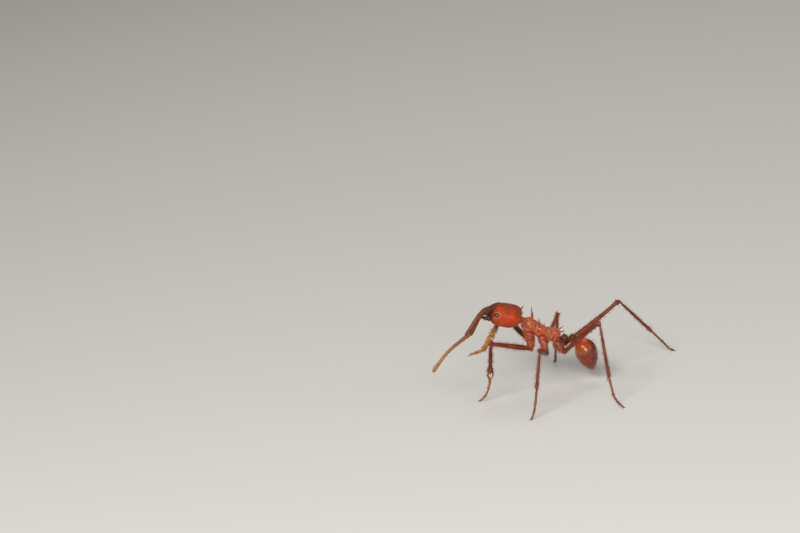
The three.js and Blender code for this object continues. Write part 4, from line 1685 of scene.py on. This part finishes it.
class ANT_OT_bristles(bpy.types.Operator):
    """Plants the bristles on every part of the body."""

    bl_idname = "ant.bristles"
    bl_label = "Bristles"

    def execute(self, context):
        settings = context.scene.ant.bristle
        objects = bpy.data.objects
        fine = settings.radius / MM
        self.body(objects, settings, fine)
        for side in SIDES:
            self.legs(objects, side, settings.limb / MM, fine)
        self.antennae(objects, fine)
        return {"FINISHED"}

    @staticmethod
    def body(objects, settings, fine):
        """Bristles and tubercles of the head, the thorax, the waist and the gaster."""
        head = plate("head")

        def face_and_crown(places, _):
            forward, _, up = head.into(places).T
            return 0.1 + (forward > 0.9) + 1.2 * (forward < -0.9) + (up > 0.7)

        coat = Coat("bristles_head", 3)
        coat.plant(
            objects["head_capsule"], 420, 0.13, fine * 0.7, ends_of(head, 1.4, -1.4), 0.6,
            keep=face_and_crown,
        )
        for side in SIDES:
            axis = (head.out_of((2, 0, -0.3)), head.out_of((1.2, 0, -0.3)))
            coat.plant(objects[f"mandible_blade_{side}"], 45, 0.13, fine * 0.7, axis, -0.6)
        coat.grow("funiculus")

        # Tubercles: real bumps, pale with a painted glint.
        coat = Coat("tubercles_body", 11)
        for name, count, highest in (
            ("pronotum", 190, 1.12), ("mesothorax", 130, 1.1), ("propodeum", 170, 1.2),
        ):
            home = plate(name)
            coat.plant(
                objects[f"{name}_plate"], count, 0.06, 0.06, ends_of(home, 1, -1), 0.0, 0.1,
                lambda places, _, home=home, highest=highest: outness(home.into(places), home) < highest,
            )
        for leg, side in STANCE:
            axis = leg_joints(leg, side)[:2]
            coat.plant(objects[f"coxa_{leg}_{side}"], 60, 0.055, 0.055, axis, 0.0, 0.1)
        coat.plant(
            objects["head_capsule"], 36, 0.05, 0.05, ends_of(head, 1.4, -1.4), 0.0, 0.1,
            keep=lambda places, _: head.into(places)[:, 0] < -1.0,
        )
        coat.grow("shell_thorax", "tubercle_shell")

        coat = Coat("bristles_thorax", 3)
        for name, count in (("pronotum", 260), ("mesothorax", 190), ("propodeum", 220)):
            axis = ends_of(plate(name), 1, -1)
            coat.plant(objects[f"{name}_plate"], count, 0.15, fine * 0.75, axis, 0.4)
        coat.grow("funiculus")

        coat = Coat("bristles_waist", 2)
        for name, count in (("petiole", 40), ("postpetiole", 55)):
            axis = ends_of(plate(name), 0.4, -0.4)
            coat.plant(
                objects[f"{name}_knob"], count, 0.2, fine * 0.7, axis, 0.5,
                keep=lambda _, normals: normals[:, 2] > -0.2,
            )
        coat.grow("funiculus")

        coat = Coat("bristles_gaster", 5)
        gaster = plate("gaster")
        reach = settings.gaster / MM
        axis = ends_of(gaster, 1.06, -1.66)

        def upper(places, _):
            local = gaster.into(places)
            return 0.35 + 1.0 * (local[:, 2] > 0)

        coat.plant(objects["gaster_plate_1"], 110, reach, fine * 0.8, axis, 0.5, 0.2, upper, 0.25)
        for number, count in ((2, 34), (3, 28), (4, 22), (5, 20)):
            edge = GASTER_PLATES[number - 2][0]  # the rear end of the plate before
            coat.plant(
                objects[f"gaster_plate_{number}"], count, reach * 0.8, fine * 0.8, axis, 0.7, 0.2,
                lambda places, _, edge=edge: gaster.into(places)[:, 0] < edge - 0.04, 0.25,
            )
        coat.grow("funiculus")

    @staticmethod
    def legs(objects, side, reach, fine):
        """Bristles of the three legs of one side."""
        coat = Coat(f"bristles_legs_{side}", 15)
        for leg in HIPS:
            joints = leg_joints(leg, side)
            tag = f"{leg}_{side}"
            for part, start, count, size, lean in (
                ("coxa", 0, 50, 0.8, 0.5), ("femur", 1, 110, 1.0, 0.5), ("tibia", 2, 130, 0.9, 0.6),
                ("tarsus", 3, 130, 0.5, 1.2), ("foot", 4, 110, 0.4, 1.2),
            ):
                axis = (joints[start], joints[start + 1])
                radius = fine * (0.4 + 0.85 * size)
                coat.plant(
                    objects[f"{part}_{tag}"], count, reach * size, radius, axis, lean, 0.2,
                    clear_of_floor, 0.3,
                )
        coat.grow("limb", "leg_bristle_shell")

    @staticmethod
    def antennae(objects, fine):
        """The down of both antennae."""
        coat = Coat("bristles_antennae", 6)
        for side in SIDES:
            joints = antenna_joints(side)
            for piece, start, end, count, size in (
                (f"scape_{side}_shaft", 1, 2, 110, 0.12), (f"funiculus_{side}_beads", 2, 3, 420, 0.07),
                (f"club_{side}_beads", 3, 4, 520, 0.07),
            ):
                coat.plant(objects[piece], count, size, fine * 0.6, (joints[start], joints[end]), 1.2, 0.2)
        coat.grow("funiculus")


# ---------------------------------------------------------------- the stage

PICTURE = (800, 533)  # the frame of the picture, in pixels
SENSOR = 36.0  # width of the camera's sensor, in millimetres
AIM = np.array([0.0, 0.0, 3.1])  # a point in the ant's body, in the axes of the stance
AIM_PIXEL = (550, 350)  # where that point stands in the picture
LAMP_AIM = (0, 0, 0.003)  # the point that all lamps face, in metres
# The lamps: name, place and size in metres, tilt in degrees, power in watts.
LAMPS = (
    ("key", (-0.05, -0.2, 0.15), (0.34, 0.07), -35, 0.84),  # a strip, for a streak of light on the gaster
    ("fill", (0.2, -0.1, 0.12), (0.12, 0.12), 0, 0.05),
    ("rim", (0.02, 0.14, 0.2), (0.12, 0.12), 0, 0.08),
)


class ANT_OT_stage(bpy.types.Operator):
    """Sets the floor, the lights and the camera."""

    bl_idname = "ant.stage"
    bl_label = "Stage"

    def execute(self, context):
        self.floor()
        self.lights()
        self.camera(context.scene.ant.stage)
        return {"FINISHED"}

    @staticmethod
    def floor():
        """The floor under the feet."""
        bpy.ops.object.select_all(action="DESELECT")
        bpy.ops.mesh.primitive_plane_add(size=4, location=(0, 0, 0))
        floor = bpy.context.object
        floor.name = "floor"
        # Pale matte paper, on which the bristles and the dark legs stand out without a mirror image.
        material = bpy.data.materials.new("matte_paper_floor")
        material.use_nodes = True
        skin = material.node_tree.nodes["Principled BSDF"]
        skin.inputs["Base Color"].default_value = bpy.context.scene.ant.colour.floor
        skin.inputs["Roughness"].default_value = 0.9
        floor.data.materials.append(material)

    @staticmethod
    def lights():
        """A dim warm room and three lamps."""
        world = bpy.data.worlds.new("pale_studio")
        bpy.context.scene.world = world
        world.use_nodes = True
        sky = world.node_tree.nodes["Background"]
        sky.inputs["Color"].default_value = (1.0, 0.97, 0.93, 1.0)
        sky.inputs["Strength"].default_value = 0.16
        power = bpy.context.scene.ant.stage.light
        for name, place, (wide, high), tilt, watts in LAMPS:
            bpy.ops.object.light_add(type="AREA", location=place)
            lamp = bpy.context.object
            lamp.name = f"{name}_light"
            lamp.data.shape = "RECTANGLE"
            lamp.data.size = wide
            lamp.data.size_y = high
            lamp.data.energy = watts * power
            aim = (Vector(LAMP_AIM) - Vector(place)).to_track_quat("-Z", "Y").to_matrix()
            turn = Matrix.Rotation(math.radians(tilt), 3, "Z")
            lamp.matrix_world = Matrix.Translation(place) @ (aim @ turn).to_4x4()

    @staticmethod
    def camera(settings):
        """The camera, placed so that AIM is seen at AIM_PIXEL."""
        rise, roll = settings.elevation, settings.roll
        ahead = np.array([0, math.cos(rise), -math.sin(rise)])
        level = np.array([1.0, 0.0, 0.0])
        upright = np.array([0, math.sin(rise), math.cos(rise)])
        right = math.cos(roll) * level - math.sin(roll) * upright
        top = math.sin(roll) * level + math.cos(roll) * upright
        reach = settings.distance / MM
        pixel = reach * SENSOR / settings.lens / PICTURE[0]
        across = (AIM_PIXEL[0] - PICTURE[0] / 2) * pixel
        above = (PICTURE[1] / 2 - AIM_PIXEL[1]) * pixel
        place = AIM - STANCE_MIDDLE - reach * ahead - across * right - above * top
        bpy.ops.object.camera_add()
        camera = bpy.context.object
        camera.name = "camera"
        axes = Matrix([[right[k], top[k], -ahead[k]] for k in range(3)])
        camera.matrix_world = Matrix.Translation(Vector(place) * MM) @ axes.to_4x4()
        camera.data.lens = settings.lens
        camera.data.sensor_width = SENSOR
        camera.data.clip_start = 0.01
        camera.data.clip_end = 10
        bpy.context.scene.camera = camera
        bpy.context.scene.view_settings.view_transform = "Standard"


# ---------------------------------------------------------------- panel and main


class ANT_PT_panel(bpy.types.Panel):
    """Sizes, colours and steps of the ant."""

    bl_label = "Leafcutter ant"
    bl_idname = "ANT_PT_panel"
    bl_space_type = "VIEW_3D"
    bl_region_type = "UI"
    bl_category = "Ant"

    def draw(self, context):
        layout = self.layout
        for group in ("body", "limb", "bristle", "colour", "stage"):
            settings = getattr(context.scene.ant, group)
            box = layout.box()
            box.label(text=group.capitalize())
            for key in settings.bl_rna.properties.keys():
                if key not in ("rna_type", "name"):
                    box.prop(settings, key)
        for operator in OPERATORS:
            layout.operator(operator.bl_idname)


SETTINGS = (
    AntBodySettings, AntLimbSettings, AntBristleSettings, AntColourSettings, AntStageSettings, AntSettings,
)
OPERATORS = (
    ANT_OT_stage, ANT_OT_head, ANT_OT_mouth, ANT_OT_eyes, ANT_OT_thorax, ANT_OT_waist, ANT_OT_gaster,
    ANT_OT_antennae, ANT_OT_legs, ANT_OT_bristles,
)


def register():
    for item in (*SETTINGS, *OPERATORS, ANT_PT_panel):
        bpy.utils.register_class(item)
    bpy.types.Scene.ant = PointerProperty(type=AntSettings)


def unregister():
    del bpy.types.Scene.ant
    for item in reversed((*SETTINGS, *OPERATORS, ANT_PT_panel)):
        bpy.utils.unregister_class(item)


def main():
    bpy.ops.object.select_all(action="DESELECT")
    register()
    bpy.ops.ant.stage()
    bpy.ops.ant.head()
    bpy.ops.ant.mouth()
    bpy.ops.ant.eyes()
    bpy.ops.ant.thorax()
    bpy.ops.ant.waist()
    bpy.ops.ant.gaster()
    bpy.ops.ant.antennae()
    bpy.ops.ant.legs()
    bpy.ops.ant.bristles()


if __name__ == "__main__":
    main()
